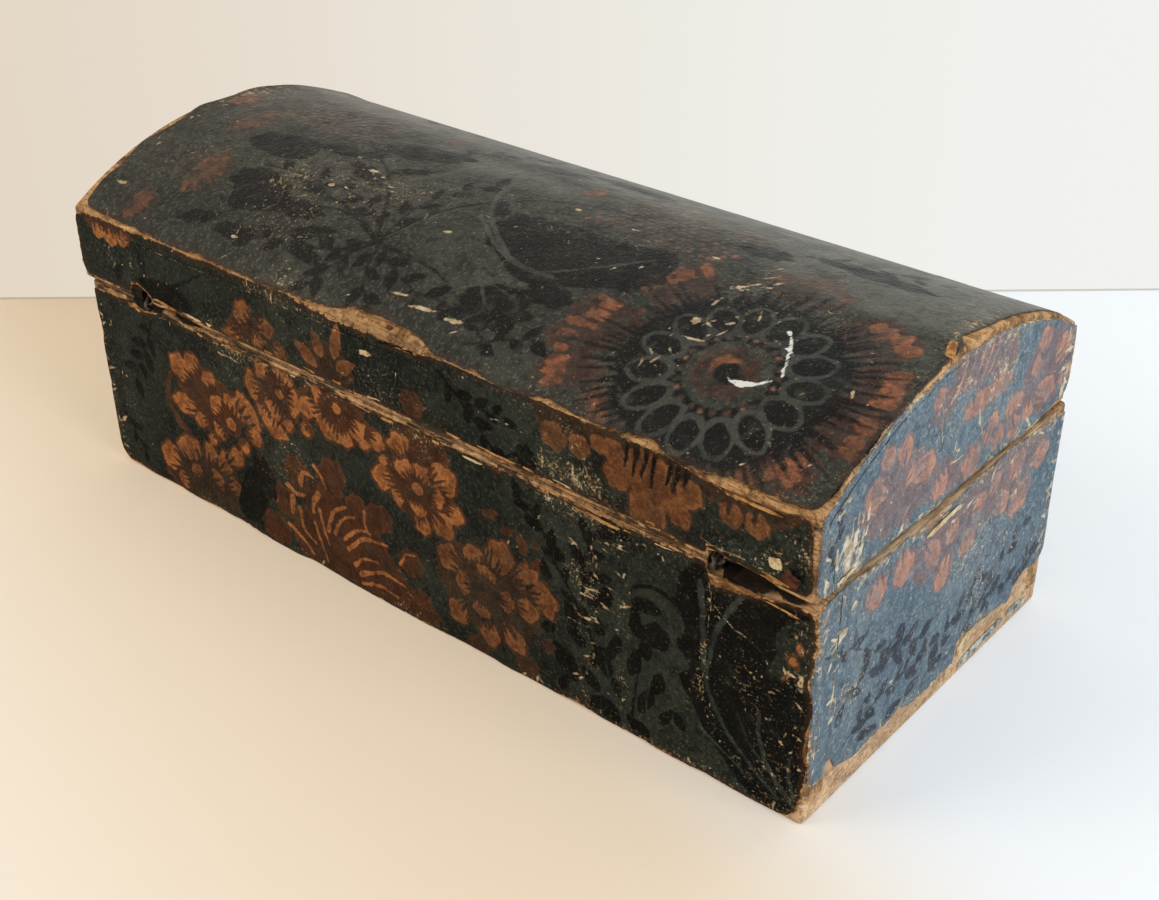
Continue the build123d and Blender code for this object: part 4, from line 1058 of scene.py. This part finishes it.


# Places and sizes for the wood are in metres; a painted black hinge shade is (x, z, half its length, half its
# height)
longWood = {
    "pale": (212, 170, 122), "mid": (168, 126, 84), "dark": (98, 68, 44), "soil": (76, 50, 31),
    "dirt": 0.7, "aged": 0.4, "grey": 0.0, "greyPale": (172, 148, 116), "greyDark": (100, 78, 56),
    "remains": 0.92, "remainsDark": (24, 27, 24), "remainsPale": (50, 44, 34),
    # after how far paper remains reach: the near-black painted shade along the joint, its strength and its
    # reach
    "remainsEdge": (0.0052, 0.0046), "jointShade": (10, 7, 5), "jointShadeShow": 0.95, "jointShadeEdge": (0.0009, 0.0002),
    "joint": 0.08715, "outerFace": (-0.07, -0.077),
    "holes": [(0.1435, 0.0865, 0.0056, 0.0038), (0.152, 0.0868, 0.014, 0.0044),
              (0.165, 0.0865, 0.010, 0.0020), (-0.1458, 0.0895, 0.0068, 0.0066),
              (-0.139, 0.0866, 0.007, 0.0022), (-0.118, 0.0870, 0.010, 0.0016)],
}
crossWood = dict(longWood, pale=(226, 192, 152), mid=(194, 154, 114), dark=(140, 106, 76),
                 soil=(112, 86, 62), dirt=0.55, grey=0.7, jointShadeShow=0.5, remains=0.0, holes=[])
footWood = dict(crossWood, grey=0.0)
thinWood = dict(longWood, pale=(212, 168, 114), mid=(168, 124, 78), dark=(92, 64, 42), dirt=0.85,
                remains=0.0, holes=[])
ironLook = {"clean": (62, 40, 30), "rust": (112, 62, 36), "metal": 0.35, "bump": 0.0002}
wireLook = {"clean": (96, 92, 86), "rust": (60, 48, 40), "metal": 0.8, "bump": 0.0001}
liningLook = {"pale": (206, 190, 158), "stain": (178, 156, 120), "fox": (140, 104, 66),
              "fibre": (150, 130, 100), "rough": 0.85, "bump": 0.0003}
scrapLooks = {"cream": ((214, 196, 156), (170, 140, 98)), "tan": ((196, 148, 92), (120, 78, 42)),
              "brown": ((96, 56, 36), (48, 30, 22)), "blue": ((196, 194, 180), (74, 92, 104))}


def ironFinish(name, look):
    m = Finish(name)
    rust = m.step(m.noise(1.2, 5, rough=0.7), 0.35, 0.65)
    colour = m.mix(rust, look["clean"], look["rust"])
    return m.put(Base_Color=colour, Roughness=0.65 + rust * 0.3, Metallic=look["metal"],
                 Normal=m.bump(rust, look["bump"]))


def wireFinish(name, look):
    m = Finish(name)
    dull = m.noise(1.5, 4)
    colour = m.mix(m.step(dull, 0.4, 0.65), look["clean"], look["rust"])
    return m.put(Base_Color=colour, Roughness=0.4 + dull * 0.3, Metallic=look["metal"],
                 Normal=m.bump(dull, look["bump"]))


def liningFinish(name, look):
    m = Finish(name)
    stain = m.noise(38, 5, rough=0.6)
    fox = m.step(m.noise(4, 4), 0.66, 0.72)
    colour = m.mix(m.step(stain, 0.35, 0.68), look["pale"], look["stain"])
    colour = m.mix(fox * 0.5, colour, look["fox"])
    colour = m.mix(m.step(m.noise(1.2, 3), 0.55, 0.75) * 0.25, colour, look["fibre"])
    return m.put(Base_Color=colour, Roughness=look["rough"],
                 Normal=m.bump(m.noise(1.4, 4) + m.noise(12, 3), look["bump"]))


def scrapFinish(name, pale, dark):
    m = Finish(name)
    stain = m.mix(m.step(m.noise(2.2, 5, rough=0.7), 0.42, 0.62), pale, dark)
    colour = m.mix(m.step(m.noise(0.7, 3), 0.55, 0.66) * 0.5, stain, dark)
    m.put(Specular_IOR_Level=0.15)
    return m.put(Base_Color=colour, Roughness=0.9, Normal=m.bump(m.noise(1.0, 4), 0.0004))


print("finishing the wood and the iron")
pineLong = woodFinish("pine_long", 0, longWood)
pineAcross = woodFinish("pine_across", 1, crossWood)
pineFoot = woodFinish("pine_foot", 0, footWood)
bentWood = woodFinish("bent_wood", 0, thinWood)
iron, wire = ironFinish("rusty_iron", ironLook), wireFinish("hinge_wire", wireLook)
liningPaper = liningFinish("old_lining", liningLook)
# the first of these words found in a node's name chooses its finish
finishes = (("nails", iron), ("tacks", iron), ("hinge_eye", wire), ("lining", liningPaper),
            ("_end", pineAcross), ("bottom_board", pineFoot), ("dome_board", bentWood), ("", pineLong))
for nodeName, piece in nodes.items():
    finish = next(finish for word, finish in finishes if word in nodeName)
    for k in range(len(piece.data.materials)):
        piece.data.materials[k] = finish

# Each printed sheet, in mm: span is its reach both ways on its face, bare the strips torn away along
# its sides, curls are (x, y, long, wide, rise), and clear keeps paper off the hinge line.
baseBack = {
    "span": (-180.4, 180.4, 0.0, 87.7), "cell": 0.65, "lift": 0.8, "rough": 0.8, "seed": 11,
    "bare": {
        "left": [(0, 6), (6, 3), (12, 2.2), (24, 0.8), (38, 2.6), (50, 1.0), (64, 2.8), (78, 1.4), (88, 3)],
        "right": [(0, 4), (8, 2.4), (20, 1.0), (34, 2.6), (46, 0.8), (60, 2.4), (72, 0.8), (88, 2.0)],
        "low": [(-180, 4), (-172, 1.2), (-60, 0.6), (40, 0.5), (120, 0.7), (170, 1.2), (180, 2.8)],
        "high": [(-180, 3), (-166, 3.8), (-152, 2.4), (-150, 5), (-142, 4), (-134, 2.6), (-118, 3.8),
            (-100, 2.8), (-84, 1.8), (-66, 2.8), (-40, 1.9), (-20, 3.0), (10, 2.0), (26, 3.2), (40, 2.0),
            (70, 2.6), (84, 1.8), (92, 3.2), (106, 3.4), (112, 1.6), (130, 1.6), (137, 2.0), (139, 5.0),
            (141, 8.0), (150, 6.4), (160, 4.6), (170, 3.0), (176, 2.0), (180, 3.4)],
    },
    "curls": [(146, 79, 8, 3, 1.0), (158, 81, 10, 2.4, 0.8), (-146, 81, 6, 2.4, 0.8)],
    "hinge": 87.15, "clear": {"high": 2.1},
}
lidBack = {
    "span": (-184.7, 178.7, 86.6, 118.4), "cell": 0.65, "lift": 0.8, "rough": 0.7, "seed": 23,
    "bare": {
        "left": [(86, 2.4), (118, 3)],
        "right": [(86, 2.6), (95, 1.8), (105, 3.0), (118, 2.6)],
        "low": [(-184, 1.8), (-153, 1.8), (-149, 8), (-144, 9), (-140, 7), (-136, 3.2), (-128, 3.8),
            (-104, 2.8), (-90, 2.2), (-72, 3.2), (-50, 2.0), (-34, 3.4), (10, 2.2), (24, 3.2), (50, 2.4),
            (60, 1.6), (130, 1.8), (137, 2.8), (139, 5.6), (142, 6.4), (150, 5.4), (160, 3.4), (168, 1.4),
            (178, 1.6)],
        "high": [(-184, 2), (-160, 1.0), (-120, 0.6), (-36, 0.6), (-28, 1.4), (14, 1.6), (20, 0.6),
            (60, 0.5), (100, 0.6), (130, 1.4), (138, 3.2), (150, 5.8), (160, 4.0), (170, 2.0), (178, 3.0)],
    },
    "curls": [(144, 94, 7, 2.6, 1.8), (156, 93.5, 9, 2.4, 1.6), (-145, 97, 6, 3, 1.2)],
    "hinge": 87.15, "clear": {"low": 2.9},
}
baseRight = {
    "span": (-81.9, 81.9, 0.0, 88.2), "cell": 0.7, "lift": 0.7, "rough": 0.9, "seed": 31,
    "bare": {
        "left": [(0, 2), (20, 1.2), (60, 1.0), (87, 1.2)],
        "right": [(0, 4), (20, 2), (50, 1), (87, 1.2)],
        "low": [(-82, 18), (-76, 14), (-72, 15), (-70, 21), (-67, 20), (-64, 14), (-54, 10.4), (-50, 9),
            (-44, 10.8), (-30, 11.4), (-24, 12.6), (-16, 9.2), (-4, 8.4), (14, 8.4), (16, 17), (20, 18.5),
            (34, 16), (40, 15.8), (48, 15), (55, 13), (58, 18), (66, 21), (74, 20), (82, 24)],
        "high": [(-82, 1.6), (-70, 1.4), (-30, 1.8), (-16, 4.4), (-4, 3), (20, 1.4), (50, 1.8), (82, 4)],
    },
}
# bare strip under the dome's edge, as (places along it, widths)
rightArch = ([-84, -36, -26, 40, 70, 84], [0.8, 0.9, 2.6, 2.8, 1.4, 1.2])
lidRight = {
    "span": (-81.9, 82.7, 87.0, 142.6), "cell": 0.7, "lift": 0.7, "rough": 0.8, "seed": 43,
    "bare": {
        "left": [(87, 1.2), (120, 1.2)], "right": [(87, 2.4), (120, 1.8)],
        "low": [(-82, 2.0), (-60, 1.2), (-30, 1.4), (-10, 1.0), (0, 0.8), (60, 1.0), (72, 2.6), (82, 4)],
            "high": [(-82, 0), (82, 0)],
    },
    "shape": lambda y, z: domeRadius - np.interp(y, *rightArch) - np.hypot(y - box["lidY"], z - domeAxis)
    + (hills(y, z, 5.0, 5, 3) - 0.5) * 1.4,
}
baseFront = {
    "span": (-179.3, 179.3, 0.3, 86.9), "cell": 0.95, "lift": 0.5, "rough": 0.9, "seed": 71, "flip": True,
    "bare": {
        "left": [(0, 4), (12, 1.2), (87, 1.4)], "right": [(0, 6), (10, 1.6), (87, 2.4)],
        "low": [(-180, 3), (-100, 1.2), (60, 1.6), (180, 4)],
        "high": [(-180, 2), (-100, 1.2), (0, 1.0), (60, 1.8), (180, 1.2)],
    },
    "bites": [(-112, 88, 5), (64, -3, 7)],
}
lidFront = {
    "span": (-183.4, 177.4, 87.5, 117.8), "cell": 0.95, "lift": 0.5, "rough": 0.8, "seed": 83, "flip": True,
    "bare": {
        "left": [(87, 1.5), (118, 2.5)], "right": [(87, 2.0), (118, 2)],
        "low": [(-184, 1.2), (0, 0.8), (178, 1.4)], "high": [(-184, 2), (-60, 2.8), (40, 1.6), (178, 3)],
    },
}
baseLeft = {
    "span": (-80.6, 80.6, 0.4, 86.6), "cell": 1.0, "lift": 0.5, "rough": 0.9, "seed": 97, "flip": True,
    "bare": {
        "left": [(0, 3), (87, 1.2)], "right": [(0, 4), (87, 1.2)],
        "low": [(-82, 12), (-60, 9), (0, 7.5), (30, 9), (62, 8), (82, 13)],
        "high": [(-82, 3), (-20, 2), (40, 3.4), (82, 2.4)],
    },
}
lidLeft = {
    "span": (-80.6, 81.4, 87.8, 142.3), "cell": 1.0, "lift": 0.5, "rough": 0.8, "seed": 103, "flip": True,
    "bare": {
        "left": [(87, 1), (120, 1)], "right": [(87, 2), (120, 1.6)],
        "low": [(-82, 3), (0, 1.4), (82, 2)], "high": [(-82, 0), (82, 0)],
    },
    "shape": lambda y, z: domeRadius - box["domeBoard"] - 0.8 - np.hypot(y - box["lidY"], z - domeAxis)
    + (hills(y, z, 7.0, 9, 3) - 0.5) * 1.6,
}
domeSheet = {
    "span": (-184.2, 178.2, -86.4, 86.4), "cell": 0.8, "lift": 0.7, "rough": 0.9, "seed": 57,
    "bare": {
        "left": [(-86, 5), (-70, 3.0), (-60, 5.0), (-44, 1.6), (-30, 5.0), (-14, 2.0), (6, 3.2), (20, 1.4),
            (60, 1.2), (86, 3)],
        "right": [(-86, 3.0), (-76, 0.6), (-50, 0.3), (-20, 0.3), (-4, 0.6), (1, 4.4), (10, 3.2), (24, 2.2),
            (40, 1.4), (60, 1.2), (86, 4)],
        "low": [(-184, 4), (-170, 1.8), (-120, 1.0), (-60, 0.9), (-36, 1.2), (-30, 3.0), (-22, 5.6),
            (-8, 6.2), (4, 5.2), (14, 3.8), (20, 0.9), (64, 0.4), (72, 1.6), (80, 0.5), (100, 0.5),
            (116, 2.0), (122, 0.4), (150, 0.6), (165, 0.9), (178, 2.4)],
        "high": [(-184, 3), (0, 2.2), (178, 3)],
    },
}


# How far each kind of edge of the box is worn round, in mm
worn = {"corner": 2.0, "rim": 1.2, "foot": 1.5, "dome": 1.3}
turnLimit = 1.5  # how far round a worn edge paper may go, in radians
floorGap = 0.05  # how far paper stays off the floor, in mm


# A coordinate that runs on over an edge worn round: where it comes to lie, and how high it still stands
def overEdge(t, h, low, high, wornLow, wornHigh):
    past = np.maximum(t - (high - wornHigh), 0) - np.maximum(low + wornLow - t, 0)
    bend = np.where(past > 0, wornHigh, wornLow)
    turn = np.clip(past / bend, -turnLimit, turnLimit)
    return t - past + (bend + h) * np.sin(turn), (bend + h) * np.cos(turn) - bend


# Places points of a flat sheet on a board whose outer face stands at `at`
def onBoard(axis, sign, at, area, edges):
    def place(u, v, h):
        a, hu = overEdge(u, h, area[0], area[1], edges[0], edges[1])
        b, hv = overEdge(v, h, area[2], area[3], edges[2], edges[3])
        b = np.maximum(b, area[2] + floorGap)
        out = at + sign * (hu + hv - h)
        return np.stack([a, out, b] if axis else [out, a, b], -1)
    return place


def onDome(u, v, h):
    half = box["lidLength"] / 2
    a, hu = overEdge(u - box["lidX"], h, -half, half, worn["dome"], worn["dome"])
    b, hv = overEdge(v, h, -domeReach, domeReach, worn["dome"], worn["dome"])
    turn = b / domeRadius
    r = domeRadius + hu + hv - h
    return np.stack([a + box["lidX"], box["lidY"] + r * np.sin(turn), domeAxis + r * np.cos(turn)], -1)


print("pasting the papers")
sideFinish, endFinish = paperFinish("side_paper", sidePaper), paperFinish("end_paper_faded_and_window_lit", endPaper)
domeFinish = paperFinish("dome_paper", domePaper)
backY, frontY = -box["baseDepth"] / 2, box["baseDepth"] / 2
lidFrontY = backY + box["lidDepth"]
baseEnd = box["baseLength"] / 2
lidRightX, lidLeftX = box["lidLength"] / 2 + box["lidX"], box["lidX"] - box["lidLength"] / 2
lidTop = box["lidZ"] + box["lidSide"]
aboveLid = 200.0  # the arched ends' sheets have no straight top edge
baseSide, baseCross = (-baseEnd, baseEnd, 0, box["baseHeight"]), (backY, frontY, 0, box["baseHeight"])
lidSide, lidCross = (lidLeftX, lidRightX, box["lidZ"], lidTop), (backY, lidFrontY, box["lidZ"], aboveLid)
baseEdges = (worn["corner"], worn["corner"], worn["foot"], worn["rim"])
lidEdges = (worn["corner"], worn["corner"], worn["rim"], worn["dome"])
# the axis each board faces along, which way, where its face stands, its sides, and how they are worn
boards = {
    "base_back": (1, -1, backY, baseSide, baseEdges), "lid_back": (1, -1, backY, lidSide, lidEdges),
    "base_front": (1, 1, frontY, baseSide, baseEdges), "lid_front": (1, 1, lidFrontY, lidSide, lidEdges),
    "base_right": (0, 1, baseEnd, baseCross, baseEdges), "base_left": (0, -1, -baseEnd, baseCross, baseEdges),
    "lid_right": (0, 1, lidRightX, lidCross, lidEdges), "lid_left": (0, -1, lidLeftX, lidCross, lidEdges),
}
places = dict({name: onBoard(*board) for name, board in boards.items()}, dome=onDome)
bodies = {name: "base" if name.startswith("base") else "lid" for name in places}
for name, setting, drawing, finish in (
        ("base_back", baseBack, printBase, sideFinish), ("lid_back", lidBack, printLidSide, sideFinish),
        ("base_right", baseRight, printEnd, endFinish), ("lid_right", lidRight, printLidEnd, endFinish),
        ("base_front", baseFront, printFarBase, sideFinish), ("lid_front", lidFront, printFarLid, sideFinish),
        ("base_left", baseLeft, printFarEnd, endFinish), ("lid_left", lidLeft, printFarLidEnd, endFinish),
        ("dome", domeSheet, printDome, domeFinish)):
    pasteSheet(name + "_sheet", bodies[name], name + "_paper", setting, drawing, places[name], finish)

# Loose scraps, torn lips and splinters: small bent patches standing off a face, in mm
patch = {
    "points": 15, "thick": 0.25, "long": 8,  # a scrap longer than `long` tapers more
    "taper": (0.5, 0.12), "ragged": (0.2, 0.7, 1.3), "bulge": 0.12,
    "curlEnds": 0.6, "ripple": (4.0, 3, 0.3),
}
# the torn lips, in turn above and below the joint
lips = {
    "count": 30, "from": -134, "pitch": 8.9, "jog": 4, "rows": (("lid_back", 90.6), ("base_back", 84.2)),
    "high": (-0.5, 0.3), "long": (3, 9), "wide": (0.5, 1.4), "turn": (-4, 3), "off": 0.15,
    "curl": (0.15, 0.4), "seed": 8,
}


def scrap(name, body, place, finish, at, size, turn, off, curl, seed):
    taper = patch["taper"][0 if size[0] > patch["long"] else 1]
    least, more, hillSize = patch["ragged"]
    t = np.linspace(-1, 1, patch["points"])
    a, b = np.meshgrid(t, t, indexing="ij")
    ragged = 1 + (least + taper * more) * (hills(a * 4 + seed, b * 4, hillSize, seed, 3) - 0.5)
    c, s = direction(turn)
    along = a * size[0] / 2 * (1 - patch["bulge"] * b * b)
    up = b * size[1] / 2 * ragged * (1 - taper * a**4)
    u, v = at[0] + along * c - up * s, at[1] + along * s + up * c
    hillSize, shift, rise = patch["ripple"]
    ripple = rise * (hills(u, v, hillSize, seed + shift, 2) - 0.5)
    h = off + curl * ((b + 1) / 2) ** 2 * (1 - patch["curlEnds"] * a * a) + ripple
    points = [place(u, v, height).reshape(-1, 3) for height in (h + patch["thick"], h)]
    index, quads = gridOf(a.shape)
    quads = quads.reshape(-1, 4)
    rim = np.concatenate([index[:, 0], index[-1, 1:], index[-2::-1, -1], index[0, -2:0:-1]])
    after = np.roll(rim, -1)
    sides = np.stack([after, rim, rim + a.size, after + a.size], -1)
    faces = np.concatenate([quads, quads[:, ::-1] + a.size, sides])
    piece = makePiece(name, (np.concatenate(points) * millimetre).tolist(), faces.tolist(), finish)
    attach(piece, body)


print("laying on the loose scraps")
cream, tan, brown, blue = (scrapFinish(name + "_scrap", *scrapLooks[name])
                           for name in ("cream", "tan", "brown", "blue"))
for k, (on, finish, at, size, turn, off, curl) in enumerate((
        ("lid_back", cream, (163.5, 97.2), (4.6, 4.2), 12, 0.7, 0.5),
        ("lid_back", brown, (169.5, 94.0), (6.0, 6.6), -24, 0.8, 1.6),
        ("lid_back", tan, (154, 92.4), (30, 2.6), -6, 0.6, 1.1),
        ("lid_back", tan, (141.6, 93.4), (6.4, 2.6), 14, 0.8, 1.4),
        ("base_back", tan, (156, 81.6), (34, 2.0), -2, 0.4, 0.7),
        ("lid_back", tan, (-128, 91.0), (13, 1.8), -5, 0.4, 0.7),
        ("lid_back", cream, (-111, 90.6), (9, 1.4), -3, 0.3, 0.5),
        ("base_back", tan, (-151, 83.8), (6, 2.2), 10, 0.4, 0.6),
        ("base_back", tan, (-88, 84.4), (10, 1.2), -2, 0.2, 0.3),
        ("base_back", tan, (96, 83.6), (16, 1.6), -2, 0.3, 0.5),
        ("lid_back", tan, (52, 90.5), (14, 1.2), -1, 0.3, 0.5),
        ("base_right", blue, (36, 5.4), (34, 3.8), 3, 0.1, 0.1),
        ("base_right", blue, (64, 5.4), (16, 3.4), -6, 0.1, 0.1),
        ("base_right", cream, (23, 13.2), (13, 5.4), 24, 0.05, 0.1),
        ("base_right", cream, (-8, 81.4), (22, 2.6), 4, 0.5, 0.5),
        ("lid_right", cream, (-66, 90.6), (10, 2.4), 4, 0.5, 0.7),
        ("dome", tan, (175.4, -9), (3.0, 8.0), 20, 0.4, 1.2),
        ("lid_back", tan, (156, 114.2), (18, 1.6), -2, 0.4, 0.7))):
    scrap("loose_scrap_%02d" % (k + 1), bodies[on], places[on], finish, at, size, turn, off, curl, k + 3)
chance = np.random.RandomState(lips["seed"])
for k in range(lips["count"]):
    on, z = lips["rows"][k % 2]
    x = lips["from"] + lips["pitch"] * k + chance.uniform(-lips["jog"], lips["jog"])
    long = lips["long"][0] + lips["long"][1] * chance.rand() ** 2
    at, size = (x, z + chance.uniform(*lips["high"])), (long, chance.uniform(*lips["wide"]))
    scrap("torn_lip_%02d" % (k + 1), bodies[on], places[on], (tan, brown, tan, tan, cream)[k % 5], at, size,
          chance.uniform(*lips["turn"]), lips["off"], chance.uniform(*lips["curl"]), k + 41)

# Camera, floor, wall and light, in metres
print("setting the camera and the light")
view = {"place": (0.37465, -0.41950, 0.37601), "azimuth": 40.375, "elevation": 31.247, "roll": -0.387,
        "lens": 50.456, "sensor": 36.0}
az, el, roll = (math.radians(view[k]) for k in ("azimuth", "elevation", "roll"))
back = Vector((math.sin(az) * math.cos(el), -math.cos(az) * math.cos(el), math.sin(el)))
right = (-back).cross(Vector((0, 0, 1))).normalized()
up = right.cross(-back)
rightRolled = right * math.cos(roll) + up * math.sin(roll)
upRolled = up * math.cos(roll) - right * math.sin(roll)
cameraData = bpy.data.cameras.new("camera")
cameraData.lens, cameraData.sensor_width, cameraData.sensor_fit = view["lens"], view["sensor"], "HORIZONTAL"
camera = bpy.data.objects.new("camera", cameraData)
bpy.context.scene.collection.objects.link(camera)
turn = Matrix((rightRolled, upRolled, back)).transposed().to_4x4()
camera.matrix_world = Matrix.Translation(view["place"]) @ turn
bpy.context.scene.camera = camera

room = {"floorZ": -0.0002, "wallFrom": (-0.363, -0.025), "wallTo": (0.104, 0.374), "reach": 3.0,
        "wallHeight": 1.6, "gapHeight": 0.0011, "gapOut": 0.0005}
# the floor paint runs from cool to warm to far along a line over the floor: cool is painted window light,
# warm is a painted warm shadow of the box beside its long side, far is the lighter floor beyond that shadow
floorPaintWithShadow = {"cool": (245, 248, 250), "warm": (240, 222, 195), "far": (250, 243, 231), "share": 0.3,
              "line": (0.36, 0.93), "coolEdge": (0.05, -0.07), "farEdge": (-0.10, -0.36)}
# the wall's paint: painted warm lamp light at the left, going over to painted cool window light at the right
wallPaintedLight = {"cool": (241, 242, 238), "warm": (227, 213, 195), "far": (227, 213, 195), "share": 1.0,
             "line": (1.0, 0.0), "coolEdge": (0.08, -0.42), "farEdge": (-1.0, -2.0)}
# a thin darker strip at the wall's foot: painted shade in the gap between wall and floor
wallFootShade = dict(wallPaintedLight, cool=(206, 202, 194), warm=(190, 172, 148), far=(190, 172, 148))


# The room shows its own paint, painted light and shadow included, to the camera and in reflections; `share`
# lets the box's shadow through
def roomFinish(name, look):
    m = Finish(name)
    x, y = (m.part(m.place, k) for k in (0, 1))
    away = x * look["line"][0] + y * look["line"][1]
    # painted light and shadow: warm going to far, then cool, across the line
    paint = m.mix(m.step(away, *look["farEdge"]), look["warm"], look["far"])
    paint = m.mix(m.step(away, *look["coolEdge"]), look["cool"], paint)
    m.put(Base_Color=paint, Roughness=0.9, Specular_IOR_Level=0.0)
    rays = m.node("ShaderNodeLightPath", {}, {}, "Is Camera Ray")
    for kind in ("Is Glossy Ray", "Is Transmission Ray"):
        rays = rays + m.node("ShaderNodeLightPath", {}, {}, kind)
    glow = m.node("ShaderNodeEmission", {}, {"Color": paint, "Strength": 1.0})
    plain = Value(m, m.shader.outputs[0])
    both = m.node("ShaderNodeMixShader", {}, {0: rays * look["share"], 1: plain, 2: glow})
    behind = m.node("ShaderNodeNewGeometry", {}, {}, "Backfacing")
    clear = m.node("ShaderNodeBsdfTransparent", {}, {})
    both = m.node("ShaderNodeMixShader", {}, {0: behind, 1: both, 2: clear})
    m.feed(m.tree.nodes["Material Output"].inputs["Surface"], both)
    return m.material


def roomSheet(name, corners, paint):
    piece = makePiece(name, corners, [tuple(range(4))], paint, smooth=False)


wallA, wallB = (Vector((*room[k], room["floorZ"])) for k in ("wallFrom", "wallTo"))
alongWall = (wallB - wallA).normalized() * room["reach"]
farA, farB = wallA - alongWall, wallB + alongWall
outward = Vector((alongWall.y, -alongWall.x, 0)).normalized() * room["reach"]
rise = Vector((0, 0, room["wallHeight"]))
roomSheet("floor", [farA + outward, farB + outward, farB, farA], roomFinish("floor_paint_with_painted_shadow", floorPaintWithShadow))
roomSheet("wall", [farA, farB, farB + rise, farA + rise], roomFinish("wall_painted_light", wallPaintedLight))
# the strip of painted shade along the wall's foot
gapRise, gapOut = Vector((0, 0, room["gapHeight"])), outward.normalized() * room["gapOut"]
gapA, gapB = farA + gapOut, farB + gapOut
roomSheet("wall_foot_shade_strip", [gapA, gapB, gapB + gapRise, gapA + gapRise], roomFinish("wall_foot_shade_paint", wallFootShade))

lamps = {
    "window": {"place": (1.5, -0.1, 1.0), "size": 1.0, "power": 16, "colour": (0.86, 0.93, 1.0)},
    "lamp": {"place": (-0.9, -1.3, 1.2), "size": 0.9, "power": 12, "colour": (1.0, 0.86, 0.68)},
}
lampTarget = (0, 0, 0.05)
air = {"light": (0.95, 0.96, 1.0, 1), "strength": 0.55, "seen": (0.86, 0.85, 0.82, 1)}
for name, look in lamps.items():
    data = bpy.data.lights.new(name, "AREA")
    data.size, data.energy, data.color = look["size"], look["power"], look["colour"]
    made = bpy.data.objects.new(name, data)
    bpy.context.scene.collection.objects.link(made)
    made.location = look["place"]
    made.rotation_euler = (Vector(lampTarget) - Vector(look["place"])).to_track_quat("-Z", "Y").to_euler()
world = bpy.data.worlds.new("world")
bpy.context.scene.world = world
world.use_nodes = True
worldNodes, links = world.node_tree.nodes, world.node_tree.links
light = worldNodes["Background"]
light.inputs["Color"].default_value, light.inputs["Strength"].default_value = air["light"], air["strength"]
seen, ray, both = (worldNodes.new(kind) for kind in ("ShaderNodeBackground", "ShaderNodeLightPath",
                                                     "ShaderNodeMixShader"))
seen.inputs["Color"].default_value = air["seen"]
links.new(ray.outputs["Is Camera Ray"], both.inputs[0])
links.new(light.outputs[0], both.inputs[1])
links.new(seen.outputs[0], both.inputs[2])
links.new(both.outputs[0], worldNodes["World Output"].inputs["Surface"])
bpy.context.scene.view_settings.view_transform = "Standard"
